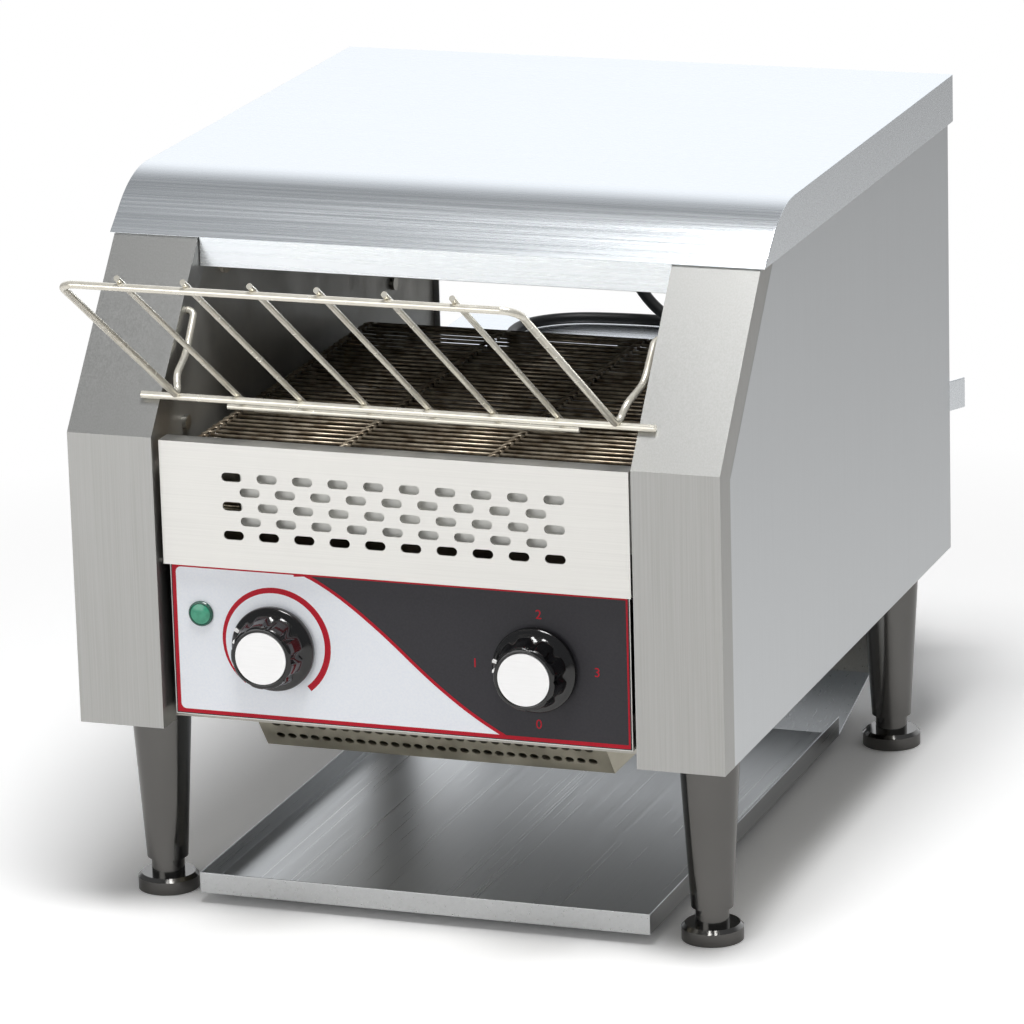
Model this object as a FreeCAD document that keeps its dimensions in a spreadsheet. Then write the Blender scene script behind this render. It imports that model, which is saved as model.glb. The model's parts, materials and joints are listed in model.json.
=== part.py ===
import FreeCAD, Part
import math
import os
import Sketcher

# Conveyor toaster, in millimetres. X is across the machine, with +X on the right as seen from the front,
# -Y is the front where the bread goes in, and +Z is up from the surface that the feet stand on.

os.makedirs("parts", exist_ok=True)
doc = FreeCAD.newDocument("conveyor_toaster")
sheet = doc.addObject("Spreadsheet::Sheet", "P")
subparts = []


# A size that knows its number and how the sheet gives it, so sums of sizes stay bound to the sheet.
class Size:
    def __init__(self, value, text):
        self.value = value
        self.text = text

    def __add__(self, other):
        return Size(self.value + number(other), f"({self.text} + {words(other)})")

    def __radd__(self, other):
        return Size(number(other) + self.value, f"({words(other)} + {self.text})")

    def __sub__(self, other):
        return Size(self.value - number(other), f"({self.text} - {words(other)})")

    def __rsub__(self, other):
        return Size(number(other) - self.value, f"({words(other)} - {self.text})")

    def __mul__(self, other):
        return Size(self.value * number(other), f"({self.text} * {words(other)})")

    def __rmul__(self, other):
        return Size(number(other) * self.value, f"({words(other)} * {self.text})")

    def __truediv__(self, other):
        return Size(self.value / number(other), f"({self.text} / {words(other)})")

    def __neg__(self):
        return Size(-self.value, f"(0 - {self.text})")


def number(size):
    return size.value if isinstance(size, Size) else float(size)


def words(size):
    return size.text if isinstance(size, Size) else f"({float(size)!r})"


def sine(angle):
    return Size(math.sin(math.radians(number(angle))), f"sin({words(angle)})")


def cosine(angle):
    return Size(math.cos(math.radians(number(angle))), f"cos({words(angle)})")


def tangent(angle):
    return Size(math.tan(math.radians(number(angle))), f"tan({words(angle)})")


def dim(alias, value):
    row = len(sheet_rows) + 1
    sheet_rows.append(alias)
    sheet.set(f"A{row}", alias)
    sheet.set(f"B{row}", str(value))
    sheet.setAlias(f"B{row}", alias)
    return Size(float(value), f"P.{alias}")


sheet_rows = []

# Casing
width = dim("width", 368)
depth = dim("depth", 440)
leg_height = dim("leg_height", 110)
sheet_t = dim("sheet_t", 1)
seat_gap = dim("seat_gap", 0.3)
slant_start = dim("slant_start", 273.5)
slant_angle = dim("slant_angle", 50.5)
slant_length = dim("slant_length", 120)
post_width = dim("post_width", 48.9)
post_return = dim("post_return", 17)
hood_flange = dim("hood_flange", 28)
hood_overhang = dim("hood_overhang", 1.5)
hood_angle = dim("hood_angle", 40)
hood_radius = dim("hood_radius", 60)

# Feed rack of bent wire
rack_angle = dim("rack_angle", 33.5)
rack_length = dim("rack_length", 178)
rack_side_inset = dim("rack_side_inset", 11.1)
rack_wire_r = dim("rack_wire_r", 2)
rack_bar_reach = dim("rack_bar_reach", 9.9)
rack_bar_along = dim("rack_bar_along", 24)
rack_rod_r = dim("rack_rod_r", 1.6)
rack_rod_pitch = dim("rack_rod_pitch", 36.2)
rack_nub = dim("rack_nub", 3)
rack_second_bar = dim("rack_second_bar", 12)
rack_loop_end = dim("rack_loop_end", 23)
rack_pivot_along = dim("rack_pivot_along", 80)
rack_pivot_depth = dim("rack_pivot_depth", 8.5)
rack_weld = dim("rack_weld", 0.5)

# Rear shelf behind the casing
shelf_top = dim("shelf_top", 210.5)
shelf_depth = dim("shelf_depth", 90)
shelf_inset = dim("shelf_inset", 34)
shelf_strip = dim("shelf_strip", 18)
shelf_wing = dim("shelf_wing", 15)
wing_turn = 27

# The frame origin is the middle of the whole length, from the rack's rod ends to the shelf's rear edge.
post_front = -depth / 2
slant_run = slant_length * cosine(slant_angle)
slant_rise = slant_length * sine(slant_angle)


def slant_y(along, behind):
    return post_front + along * cosine(slant_angle) + behind * sine(slant_angle)


def slant_z(along, behind):
    return slant_start + along * sine(slant_angle) - behind * cosine(slant_angle)


bar_behind = -(rack_wire_r + seat_gap)
rod_lift = rack_wire_r + rack_rod_r - rack_weld
bar_y_plain = slant_y(rack_bar_along, bar_behind)
nub_reach = (rack_length + rack_wire_r + rack_nub) * cosine(rack_angle)
nub_edge = (rack_rod_r - rod_lift) * sine(rack_angle)
front_reach = bar_y_plain - nub_reach - nub_edge
rear_reach = depth / 2 + shelf_depth
shift_y = -(front_reach + rear_reach) / 2

y_front = post_front + shift_y
y_rear = depth / 2 + shift_y
x_side = width / 2
x_open = x_side - post_width
x_wall = x_open + sheet_t + seat_gap
rack_half = x_open - rack_side_inset
rack_bar_half = x_open + rack_bar_reach
shelf_half = x_side - shelf_inset
z_base = leg_height
z_shoulder = slant_start + slant_rise
z_top = z_shoulder + hood_flange

# Belt and its shafts
belt_side_gap = dim("belt_side_gap", 9.4)
belt_t = dim("belt_t", 2.4)
belt_loop_r = dim("belt_loop_r", 20)
belt_shaft_z = dim("belt_shaft_z", 242)
idler_from_front = dim("idler_from_front", 44)
shaft_span = dim("shaft_span", 256)
shaft_r = dim("shaft_r", 6)
run_fit = dim("run_fit", 0.06)
bush_r = dim("bush_r", 9)
bush_flange_r = dim("bush_flange_r", 12)
bush_flange_t = dim("bush_flange_t", 1.5)
belt_sprocket_t = dim("belt_sprocket_t", 6)
belt_pitch = dim("belt_pitch", 8)
belt_wire = dim("belt_wire", 2.4)
belt_lane_gap = dim("belt_lane_gap", 6)
chain_inset = dim("chain_inset", 16)
chain_width = dim("chain_width", 3.6)
chain_t = dim("chain_t", 5)
driven_sprocket_r = dim("driven_sprocket_r", 22)
motor_sprocket_r = dim("motor_sprocket_r", 14)
motor_shaft_r = dim("motor_shaft_r", 4)
motor_back = dim("motor_back", 60)
motor_drop = dim("motor_drop", 62)

belt_width = 2 * (x_wall - belt_side_gap)
chain_x = x_side - chain_inset
y_idler = y_front + idler_from_front
y_drive = y_idler + shaft_span
z_belt_top = belt_shaft_z + belt_loop_r + belt_t / 2
sprocket_r = belt_loop_r - belt_t / 2 - seat_gap

# Heating
heater_r = dim("heater_r", 4)
heater_pitch = dim("heater_pitch", 72)
upper_heater_z = dim("upper_heater_z", 346)
upper_heater_first = dim("upper_heater_first", 71)
lower_heater_first = dim("lower_heater_first", 55)
lower_heater_z = dim("lower_heater_z", 246)
heater_end = dim("heater_end", 10)
bushing_r = dim("bushing_r", 7)
bushing_flange_r = dim("bushing_flange_r", 9)
bushing_flange_t = dim("bushing_flange_t", 2)

# Front panels
vent_set_back = dim("vent_set_back", 4)
vent_side_gap = dim("vent_side_gap", 2.5)
vent_low = dim("vent_low", 202.4)
vent_high = dim("vent_high", 271.4)
vent_top_flange = dim("vent_top_flange", 12)
slot_pitch_x = dim("slot_pitch_x", 20.24)
slot_pitch_z = dim("slot_pitch_z", 8.08)
slot_row_low = dim("slot_row_low", 221.1)
slot_length = dim("slot_length", 11.6)
slot_r = dim("slot_r", 2.45)
panel_set_back = dim("panel_set_back", 8)
panel_side_gap = dim("panel_side_gap", 4.6)
panel_low = dim("panel_low", 117)
label_t = dim("label_t", 0.3)
label_margin = dim("label_margin", 0.5)

# Knobs and lamp
knob_z = dim("knob_z", 158.7)
colour_knob_inset = dim("colour_knob_inset", 59)
selector_knob_inset = dim("selector_knob_inset", 53)
skirt_r = dim("skirt_r", 23.5)
skirt_t = dim("skirt_t", 4)
grip_r = dim("grip_r", 19)
grip_length = dim("grip_length", 16)
flute_r = dim("flute_r", 3)
cap_r = dim("cap_r", 14.5)
cap_t = dim("cap_t", 1.5)
spindle_r = dim("spindle_r", 3)
knob_gap = dim("knob_gap", 0.8)
spindle_in = dim("spindle_in", 18)
lamp_inset = dim("lamp_inset", 17.1)
lamp_z = dim("lamp_z", 174.8)
lamp_r = dim("lamp_r", 7)
lamp_body_r = dim("lamp_body_r", 5)

# Legs and feet
leg_inset = dim("leg_inset", 25.5)
leg_front = dim("leg_front", 52)
leg_rear = dim("leg_rear", 41.5)
leg_top_r = dim("leg_top_r", 17)
leg_low_r = dim("leg_low_r", 11.5)
foot_disc_r = dim("foot_disc_r", 17)
foot_disc_t = dim("foot_disc_t", 9)
foot_neck_r = dim("foot_neck_r", 9.2)
foot_neck = dim("foot_neck", 9)
foot_stud_r = dim("foot_stud_r", 4)
foot_stud = dim("foot_stud", 38)
foot_travel = dim("foot_travel", 12)
stud_fit = dim("stud_fit", 0.08)
nut_r = dim("nut_r", 7.5)
nut_t = dim("nut_t", 6.5)

# Toast tray and the guard under the base
tray_side_gap = dim("tray_side_gap", 4.6)
tray_front = dim("tray_front", 29.7)
tray_low = dim("tray_low", 6)
tray_lip = dim("tray_lip", 12)
tray_flat = dim("tray_flat", 355)
ramp_angle = dim("ramp_angle", 15)
ramp_length = dim("ramp_length", 68)
stop_angle = dim("stop_angle", 65)
stop_length = dim("stop_length", 72)
dimple_r = dim("dimple_r", 8)
dimple_inset = dim("dimple_inset", 26)
guard_inset = dim("guard_inset", 34.3)
guard_front = dim("guard_front", 44)
guard_slope_run = dim("guard_slope_run", 20)
guard_drop = dim("guard_drop", 26)
guard_depth = dim("guard_depth", 96)
guard_hole_r = dim("guard_hole_r", 2.5)
guard_hole_pitch = dim("guard_hole_pitch", 6.7)

# Base, rear window and toast drop
drop_side_gap = dim("drop_side_gap", 3.4)
drop_front = dim("drop_front", 330)
drop_rear = dim("drop_rear", 8)
window_low = dim("window_low", 214)
window_high = dim("window_high", 262)
shield_z = dim("shield_z", 212)
fan_from_front = dim("fan_from_front", 105)
fan_size = dim("fan_size", 80)
fan_t = dim("fan_t", 25)
fan_bore_r = dim("fan_bore_r", 37)
fan_tip_r = dim("fan_tip_r", 35.5)
fan_hub_r = dim("fan_hub_r", 15)
fan_pin_r = dim("fan_pin_r", 2)

# Power cord
gland_x = dim("gland_x", -38)
gland_z = dim("gland_z", 292)
gland_flange_r = dim("gland_flange_r", 11)
gland_flange_t = dim("gland_flange_t", 5)
gland_length = dim("gland_length", 23)
cord_r = dim("cord_r", 3.5)
screw_r = dim("screw_r", 2)
screw_head_r = dim("screw_head_r", 4)
screw_head_t = dim("screw_head_t", 2.4)

# What follows the casing's width
vent_half = x_open - vent_side_gap
panel_half = x_open - panel_side_gap
colour_knob_x = colour_knob_inset - panel_half
selector_knob_x = panel_half - selector_knob_inset
lamp_x = lamp_inset - panel_half
leg_x = x_side - leg_inset
tray_half = x_open - tray_side_gap
guard_half = x_open - guard_inset
x_drop = x_wall - drop_side_gap
doc.recompute()


# Building blocks
def bind(obj, prop, size):
    obj.setExpression(prop, words(size))


def place(obj, x, y, z):
    bind(obj, "Placement.Base.x", x)
    bind(obj, "Placement.Base.y", y)
    bind(obj, "Placement.Base.z", z)


def block(name, x, y, z):
    obj = doc.addObject("Part::Box", name)
    bind(obj, "Length", x[1] - x[0])
    bind(obj, "Width", y[1] - y[0])
    bind(obj, "Height", z[1] - z[0])
    place(obj, x[0], y[0], z[0])
    return obj


def turn_to(obj, axis):
    turns = {"X": ((0, 1, 0), 90), "Y": ((1, 0, 0), -90), "Z": ((0, 0, 1), 0)}
    direction, angle = turns[axis]
    obj.Placement = FreeCAD.Placement(FreeCAD.Vector(), FreeCAD.Rotation(FreeCAD.Vector(*direction), angle))


def rod(name, axis, radius, length, x, y, z):
    obj = doc.addObject("Part::Cylinder", name)
    turn_to(obj, axis)
    bind(obj, "Radius", radius)
    bind(obj, "Height", length)
    place(obj, x, y, z)
    return obj


def taper(name, axis, radius_low, radius_high, length, x, y, z):
    obj = doc.addObject("Part::Cone", name)
    turn_to(obj, axis)
    bind(obj, "Radius1", radius_low)
    bind(obj, "Radius2", radius_high)
    bind(obj, "Height", length)
    place(obj, x, y, z)
    return obj


def fuse(name, pieces):
    obj = doc.addObject("Part::MultiFuse", name)
    obj.Shapes = pieces
    return obj


def cut(name, base, tools):
    obj = doc.addObject("Part::Cut", name)
    obj.Base = base
    obj.Tool = tools[0] if len(tools) == 1 else fuse(name + "_tools", tools)
    return obj


def group(name, pieces):
    obj = doc.addObject("Part::Compound", name)
    obj.Links = pieces
    return obj


def shaped(name, shape):
    obj = doc.addObject("Part::Feature", name)
    obj.Shape = shape
    return obj


def finished(label, obj):
    obj.Label = label
    subparts.append(obj)
    return obj


def sides(half):
    return (-half, half)


# A flat outline padded into a plate: role is the origin plane, low is where the plate begins along its normal.
def plate(name, role, outline, low, thickness):
    body = doc.addObject("PartDesign::Body", name)
    plane = [part for part in body.Origin.OriginFeatures if part.Role == role][0]
    sketch = body.newObject("Sketcher::SketchObject", name + "_outline")
    sketch.AttachmentSupport = [(plane, "")]
    sketch.MapMode = "FlatFace"
    count = len(outline)
    flat = [FreeCAD.Vector(number(u), number(v), 0) for u, v in outline]
    for i in range(count):
        sketch.addGeometry(Part.LineSegment(flat[i], flat[(i + 1) % count]), False)
    for i in range(count):
        sketch.addConstraint(Sketcher.Constraint("Coincident", i, 2, (i + 1) % count, 1))
    for i, (u, v) in enumerate(outline):
        for kind, size in (("DistanceX", u), ("DistanceY", v)):
            index = sketch.addConstraint(Sketcher.Constraint(kind, -1, 1, i, 1, number(size)))
            bind(sketch, f"Constraints[{index}]", size)
    pad = body.newObject("PartDesign::Pad", name + "_pad")
    pad.Profile = sketch
    bind(pad, "Length", thickness)
    normal = {"XY_Plane": "z", "XZ_Plane": "y", "YZ_Plane": "x"}[role]
    start = low + thickness if role == "XZ_Plane" else low
    bind(body, f"Placement.Base.{normal}", start)
    return body


# The line of the posts' front, seen from the side and moved back by a depth square to it.
def front_line(behind, low, high):
    kink = slant_start - behind * (1 - sine(slant_angle)) / cosine(slant_angle)
    top = y_front + slant_run + behind / sine(slant_angle)
    top = top + (high - z_shoulder) / tangent(slant_angle)
    return [(y_front + behind, low), (y_front + behind, kink), (top, high)]


def panel_outline(behind, low, high, rear):
    return front_line(behind, low, high) + [(rear, high), (rear, low)]


def strip_outline(behind, low, high):
    return front_line(0 * sheet_t, low, high) + front_line(behind, low, high)[::-1]


# A path of straight runs joined by tangent arcs, one radius to each inner point.
def rounded_path(points, radii):
    edges = []
    start = points[0]
    for i in range(1, len(points) - 1):
        corner = points[i]
        back = (points[i - 1] - corner).normalize()
        ahead = (points[i + 1] - corner).normalize()
        half_turn = (math.pi - back.getAngle(ahead)) / 2
        reach = radii[i - 1] * math.tan(half_turn)
        first = corner + back * reach
        last = corner + ahead * reach
        middle = corner + (back + ahead).normalize() * (radii[i - 1] * (1 / math.cos(half_turn) - 1))
        edges.append(Part.LineSegment(start, first).toShape())
        edges.append(Part.Arc(first, middle, last).toShape())
        start = last
    edges.append(Part.LineSegment(start, points[-1]).toShape())
    return Part.Wire(edges)


def wire_solid(path, radius):
    first = path.Edges[0]
    start = first.valueAt(first.FirstParameter)
    direction = first.tangentAt(first.FirstParameter)
    ring = Part.Wire([Part.Circle(start, direction, radius).toShape()])
    return path.makePipeShell([ring], True, False)


def vector(x, y, z):
    return FreeCAD.Vector(number(x), number(y), number(z))


# Base pan, with its toast drop, fan hole, stud holes and the upstand behind the control panel
base_half = x_side - sheet_t - seat_gap
base_rear = y_rear - sheet_t - seat_gap
y_drop_low = y_front + drop_front
y_drop_high = y_rear - drop_rear
y_panel = y_front + panel_set_back
y_fan = y_front + fan_from_front
panel_flange = 16 * sheet_t
y_upstand = y_panel + panel_flange + seat_gap
upstand_height = 22 * sheet_t
leg_places = {
    "front_left": (-leg_x, y_front + leg_front),
    "front_right": (leg_x, y_front + leg_front),
    "rear_left": (-leg_x, y_rear - leg_rear),
    "rear_right": (leg_x, y_rear - leg_rear),
}


def base_pan():
    floor = block("base_floor", sides(base_half), (y_upstand, base_rear), (z_base, z_base + sheet_t))
    upstand = block("base_upstand", sides(panel_half), (y_upstand, y_upstand + sheet_t),
                    (z_base, z_base + upstand_height))
    pan = fuse("base_blank", [floor, upstand])
    deep = (z_base - sheet_t, z_base + 2 * sheet_t)
    tools = [block("base_drop", sides(x_drop), (y_drop_low, y_drop_high), deep)]
    tools.append(rod("base_fan_hole", "Z", fan_bore_r, 3 * sheet_t, 0 * sheet_t, y_fan, z_base - sheet_t))
    for corner, (x, y) in leg_places.items():
        tools.append(rod("base_stud_" + corner, "Z", foot_stud_r + stud_fit, 3 * sheet_t, x, y, z_base - sheet_t))
    return cut("base_pan", pan, tools)


finished("base_pan", base_pan())


# Outer side panels and folded front posts
def side_panel(label, low):
    outline = panel_outline(post_return + seat_gap, z_base, z_shoulder, y_rear)
    return plate(label, "YZ_Plane", outline, low, sheet_t)


finished("side_panel_left", side_panel("side_panel_left", -x_side))
finished("side_panel_right", side_panel("side_panel_right", x_side - sheet_t))

pivot_y = slant_y(rack_pivot_along, rack_pivot_depth) + shift_y
pivot_z = slant_z(rack_pivot_along, rack_pivot_depth)


def front_post(label, outer, inner, across):
    face = plate(label + "_face", "YZ_Plane", strip_outline(sheet_t, z_base, z_shoulder), across, post_width)
    back = plate(label + "_outer", "YZ_Plane", strip_outline(post_return, z_base, z_shoulder), outer, sheet_t)
    flange = plate(label + "_inner", "YZ_Plane", strip_outline(post_return, z_base, z_shoulder), inner, sheet_t)
    hole = rod(label + "_hole", "X", rack_wire_r + run_fit, 3 * sheet_t, inner - sheet_t, pivot_y, pivot_z)
    return cut(label, fuse(label + "_blank", [face, back, flange]), [hole])


finished("front_post_left", front_post("front_post_left", -x_side, -x_open - sheet_t, -x_side))
finished("front_post_right", front_post("front_post_right", x_side - sheet_t, x_open, x_open))

# Inner walls of the toasting tunnel
wall_behind = 12 * sheet_t
y_upper_heater = y_idler + upper_heater_first
heater_rows = [("upper", y_upper_heater, upper_heater_z), ("lower", y_idler + lower_heater_first, lower_heater_z)]
heater_places = {}
for row_name, first_y, heater_z in heater_rows:
    for i in range(3):
        heater_places[f"{row_name}_{i}"] = (first_y + i * heater_pitch, heater_z)
shaft_places = {"idler": y_idler, "drive": y_drive}
wall_bolt_z = belt_shaft_z + 27 * sheet_t
wall_bolt_places = [(y_idler + 6 * sheet_t, wall_bolt_z), (y_drive + 70 * sheet_t, wall_bolt_z)]


def inner_wall(label, low):
    outline = panel_outline(wall_behind, z_base + sheet_t, z_shoulder - sheet_t - seat_gap, base_rear)
    blank = plate(label + "_blank", "YZ_Plane", outline, low, sheet_t)
    start = low - sheet_t
    tools = []
    for name, (y, z) in heater_places.items():
        tools.append(rod(f"{label}_{name}", "X", bushing_r + run_fit, 3 * sheet_t, start, y, z))
    for name, y in shaft_places.items():
        tools.append(rod(f"{label}_{name}", "X", bush_r + run_fit, 3 * sheet_t, start, y, belt_shaft_z))
    for i, (y, z) in enumerate(wall_bolt_places):
        tools.append(rod(f"{label}_bolt_{i}", "X", screw_r + run_fit, 3 * sheet_t, start, y, z))
    return cut(label, blank, tools)


finished("inner_wall_left", inner_wall("inner_wall_left", -x_wall - sheet_t))
finished("inner_wall_right", inner_wall("inner_wall_right", x_wall))


# Top hood: a bent shell with a rounded front, open below
def hood_prism(name, inset, half):
    bottom = z_shoulder - inset
    front = y_front + slant_run - hood_overhang + inset / sine(hood_angle)
    roof = z_top - inset
    corner = front + (roof - z_shoulder) / tangent(hood_angle)
    rear = y_rear + hood_overhang + sheet_t - inset
    outline = [(front - inset / tangent(hood_angle), bottom), (corner, roof), (rear, roof), (rear, bottom)]
    body = plate(name, "YZ_Plane", outline, -half, 2 * half)
    doc.recompute()
    pad = body.Tip
    ridge = []
    for i, edge in enumerate(pad.Shape.Edges):
        place_y, place_z = edge.CenterOfMass.y, edge.CenterOfMass.z
        if abs(place_y - corner.value) < 0.01 and abs(place_z - roof.value) < 0.01:
            ridge.append(f"Edge{i + 1}")
    fillet = body.newObject("PartDesign::Fillet", name + "_bend")
    fillet.Base = (pad, ridge)
    bind(fillet, "Radius", hood_radius - inset)
    body.Tip = fillet
    return body


hood_half = x_side + hood_overhang + sheet_t
finished("top_hood", cut("top_hood", hood_prism("hood_outer", 0 * sheet_t, hood_half),
                         [hood_prism("hood_inner", sheet_t, hood_half - sheet_t)]))

# Rail between the posts under the hood's front edge
rail_high = z_shoulder - seat_gap
rail_low = z_shoulder - 16.5 * sheet_t
y_rail = y_front + slant_run + 0.5 * sheet_t
rail_half = x_open - seat_gap
rail_face = block("rail_face", sides(rail_half), (y_rail, y_rail + sheet_t), (rail_low, rail_high))
rail_foot = block("rail_foot", sides(rail_half), (y_rail, y_rail + 13 * sheet_t), (rail_low, rail_low + sheet_t))
finished("upper_front_rail", fuse("upper_front_rail", [rail_face, rail_foot]))

# Vent panel with five rows of obround slots, and the dark baffle behind it
y_vent = y_front + vent_set_back
y_vent_back = y_vent + sheet_t


def vent_panel():
    face = block("vent_face", sides(vent_half), (y_vent, y_vent_back), (vent_low, vent_high))
    top = block("vent_top", sides(vent_half), (y_vent, y_vent + vent_top_flange), (vent_high - sheet_t, vent_high))
    foot = block("vent_foot", sides(rail_half), (y_panel + sheet_t + seat_gap, y_vent + vent_top_flange),
                 (vent_low, vent_low + sheet_t))
    web = block("vent_web", sides(vent_half), (y_vent_back, y_panel + sheet_t + seat_gap),
                (vent_low, vent_low + sheet_t))
    slots = []
    straight = slot_length - 2 * slot_r
    for row in range(5):
        count = 10 if row % 2 == 0 else 9
        z = slot_row_low + row * slot_pitch_z
        for i in range(count):
            middle = (i - (count - 1) / 2) * slot_pitch_x
            ends = (middle - straight / 2, middle + straight / 2)
            half = number(slot_r)
            start = vector(ends[0], y_vent - sheet_t, z - slot_r)
            bar = Part.makeBox(number(straight), 3 * sheet_t.value, 2 * half, start)
            caps = [Part.makeCylinder(half, 3 * sheet_t.value, vector(x, y_vent - sheet_t, z), FreeCAD.Vector(0, 1, 0))
                    for x in ends]
            slots.append(bar.fuse(caps))
    punched = shaped("vent_slots", Part.makeCompound(slots))
    return cut("vent_panel", fuse("vent_blank", [face, top, foot, web]), [punched])


finished("vent_panel", vent_panel())

baffle_low = slot_row_low + slot_pitch_z / 2
baffle_left = -4 * slot_pitch_x
baffle_top = vent_high - sheet_t
baffle_y = y_vent + 5 * sheet_t
baffle_face = block("baffle_face", (baffle_left, vent_half), (baffle_y, baffle_y + sheet_t), (baffle_low, baffle_top))
baffle_lip = block("baffle_lip", (baffle_left, vent_half), (baffle_y, y_vent + vent_top_flange),
                   (baffle_top - sheet_t, baffle_top))
finished("vent_baffle", fuse("vent_baffle", [baffle_face, baffle_lip]))

# Control panel and its printed overlay
panel_high = vent_low - seat_gap
knob_places = {"colour": colour_knob_x, "selector": selector_knob_x}


def panel_holes(name, start, thickness):
    tools = []
    for knob, x in knob_places.items():
        tools.append(rod(f"{name}_{knob}_hole", "Y", spindle_r + 3 * seat_gap, thickness, x, start, knob_z))
    tools.append(rod(name + "_lamp_hole", "Y", lamp_body_r + run_fit, thickness, lamp_x, start, lamp_z))
    return tools


panel_face = block("panel_face", sides(panel_half), (y_panel, y_panel + sheet_t), (panel_low, panel_high))
panel_foot = block("panel_foot", sides(panel_half), (y_panel, y_panel + panel_flange), (panel_low, panel_low + sheet_t))
finished("control_panel", cut("control_panel", fuse("panel_blank", [panel_face, panel_foot]),
                              panel_holes("panel", y_panel - sheet_t, 3 * sheet_t)))

label_sheet = block("label_sheet", sides(panel_half - label_margin), (y_panel - label_t, y_panel),
                    (panel_low + label_margin, panel_high))
finished("control_label", cut("control_label", label_sheet, panel_holes("label", y_panel - sheet_t, 2 * sheet_t)))

# Lamp with its lens
y_label = y_panel - label_t
lamp_dome = 2.5 * sheet_t
lamp_ring = rod("lamp_ring", "Y", lamp_r, 1.5 * sheet_t, lamp_x, y_label - 1.5 * sheet_t, lamp_z)
lamp_lens = taper("lamp_lens", "Y", lamp_r * 0.82, lamp_r * 0.9, sheet_t, lamp_x, y_label - lamp_dome, lamp_z)
lamp_body = rod("lamp_body", "Y", lamp_body_r, lamp_dome + 18 * sheet_t, lamp_x, y_label - 1.5 * sheet_t, lamp_z)
finished("indicator_lamp", fuse("indicator_lamp", [lamp_ring, lamp_lens, lamp_body]))

# Controls behind the panel, their spindles and the knobs on them
y_behind = y_panel + sheet_t
control_depth = 22 * sheet_t
spindle_front = y_label - knob_gap - skirt_t - grip_length + cap_t + 2 * sheet_t
spindle_length = y_behind + spindle_in - spindle_front


def control_body(label, x, half_x, half_z):
    case = block(label + "_case", (x - half_x, x + half_x), (y_behind, y_behind + control_depth),
                 (knob_z - half_z, knob_z + half_z))
    hole = rod(label + "_hole", "Y", spindle_r + run_fit, spindle_in + seat_gap + sheet_t, x, y_behind - sheet_t,
               knob_z)
    return cut(label, case, [hole])


def spindle(label, x):
    return rod(label, "Y", spindle_r, spindle_length, x, spindle_front, knob_z)


# A knob: a skirt, a fluted grip and a recess for the metal cap, on its spindle
def knob_body(label, x):
    skirt_y = y_label - knob_gap - skirt_t
    grip_y = skirt_y - grip_length
    skirt = rod(label + "_skirt", "Y", skirt_r, skirt_t, x, skirt_y, knob_z)
    grip = rod(label + "_grip", "Y", grip_r, grip_length, x, grip_y, knob_z)
    tools = [rod(label + "_recess", "Y", cap_r + run_fit, cap_t, x, grip_y, knob_z)]
    tools.append(rod(label + "_bore", "Y", spindle_r + run_fit, grip_length + skirt_t, x, grip_y + cap_t, knob_z))
    for i in range(12):
        angle = 30 * i + 15
        away = grip_r + flute_r * 0.45
        flute_x = x + away * math.cos(math.radians(angle))
        flute_z = knob_z + away * math.sin(math.radians(angle))
        tools.append(rod(f"{label}_flute_{i}", "Y", flute_r, grip_length, flute_x, grip_y, flute_z))
    return cut(label, fuse(label + "_blank", [skirt, grip]), tools)


def knob_cap(label, x):
    cap_y = y_label - knob_gap - skirt_t - grip_length
    return rod(label, "Y", cap_r, cap_t, x, cap_y, knob_z)


finished("speed_controller", control_body("speed_controller", colour_knob_x, 19 * sheet_t, 16 * sheet_t))
finished("selector_switch", control_body("selector_switch", selector_knob_x, 15 * sheet_t, 15 * sheet_t))
for knob, x in knob_places.items():
    finished(knob + "_spindle", spindle(knob + "_spindle", x))
    finished(knob + "_knob", knob_body(knob + "_knob", x))
    finished(knob + "_knob_cap", knob_cap(knob + "_knob_cap", x))

# Rear panel with the exit window and the cord hole
rear_high = z_shoulder - sheet_t - seat_gap
rear_sheet = block("rear_sheet", sides(base_half), (y_rear - sheet_t, y_rear), (z_base, z_top - sheet_t - seat_gap))
rear_window = block("rear_window", sides(x_drop), (y_rear - 2 * sheet_t, y_rear + sheet_t), (window_low, window_high))
rear_cord_hole = rod("rear_cord_hole", "Y", cord_r + 3 * sheet_t + run_fit, 3 * sheet_t, gland_x, y_rear - 2 * sheet_t,
                     gland_z)
rear_screw_x = base_half - 12 * sheet_t
rear_screw_heights = [z_base + 20 * sheet_t, window_low + 24 * sheet_t, z_shoulder - 22 * sheet_t]
rear_screw_places = [(side * rear_screw_x, z) for side in (-1, 1) for z in rear_screw_heights]
rear_tools = [rear_window, rear_cord_hole]
for i, (x, z) in enumerate(rear_screw_places):
    rear_tools.append(rod(f"rear_screw_hole_{i}", "Y", screw_r + run_fit, 3 * sheet_t, x, y_rear - 2 * sheet_t, z))
finished("rear_panel", cut("rear_panel", rear_sheet, rear_tools))

# Rear shelf that keeps the machine off a wall and carries the cord
shelf_low = shelf_top - sheet_t
strip_low = shelf_top - shelf_strip
shelf_end = y_rear + shelf_depth
shelf_plate = block("shelf_plate", sides(shelf_half), (y_rear, shelf_end), (shelf_low, shelf_top))
shelf_back = block("shelf_back", sides(base_half), (y_rear, y_rear + sheet_t), (strip_low, shelf_top))
shelf_lip = block("shelf_lip", sides(shelf_half), (shelf_end - sheet_t, shelf_end), (shelf_low - 9 * sheet_t, shelf_top))


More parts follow.
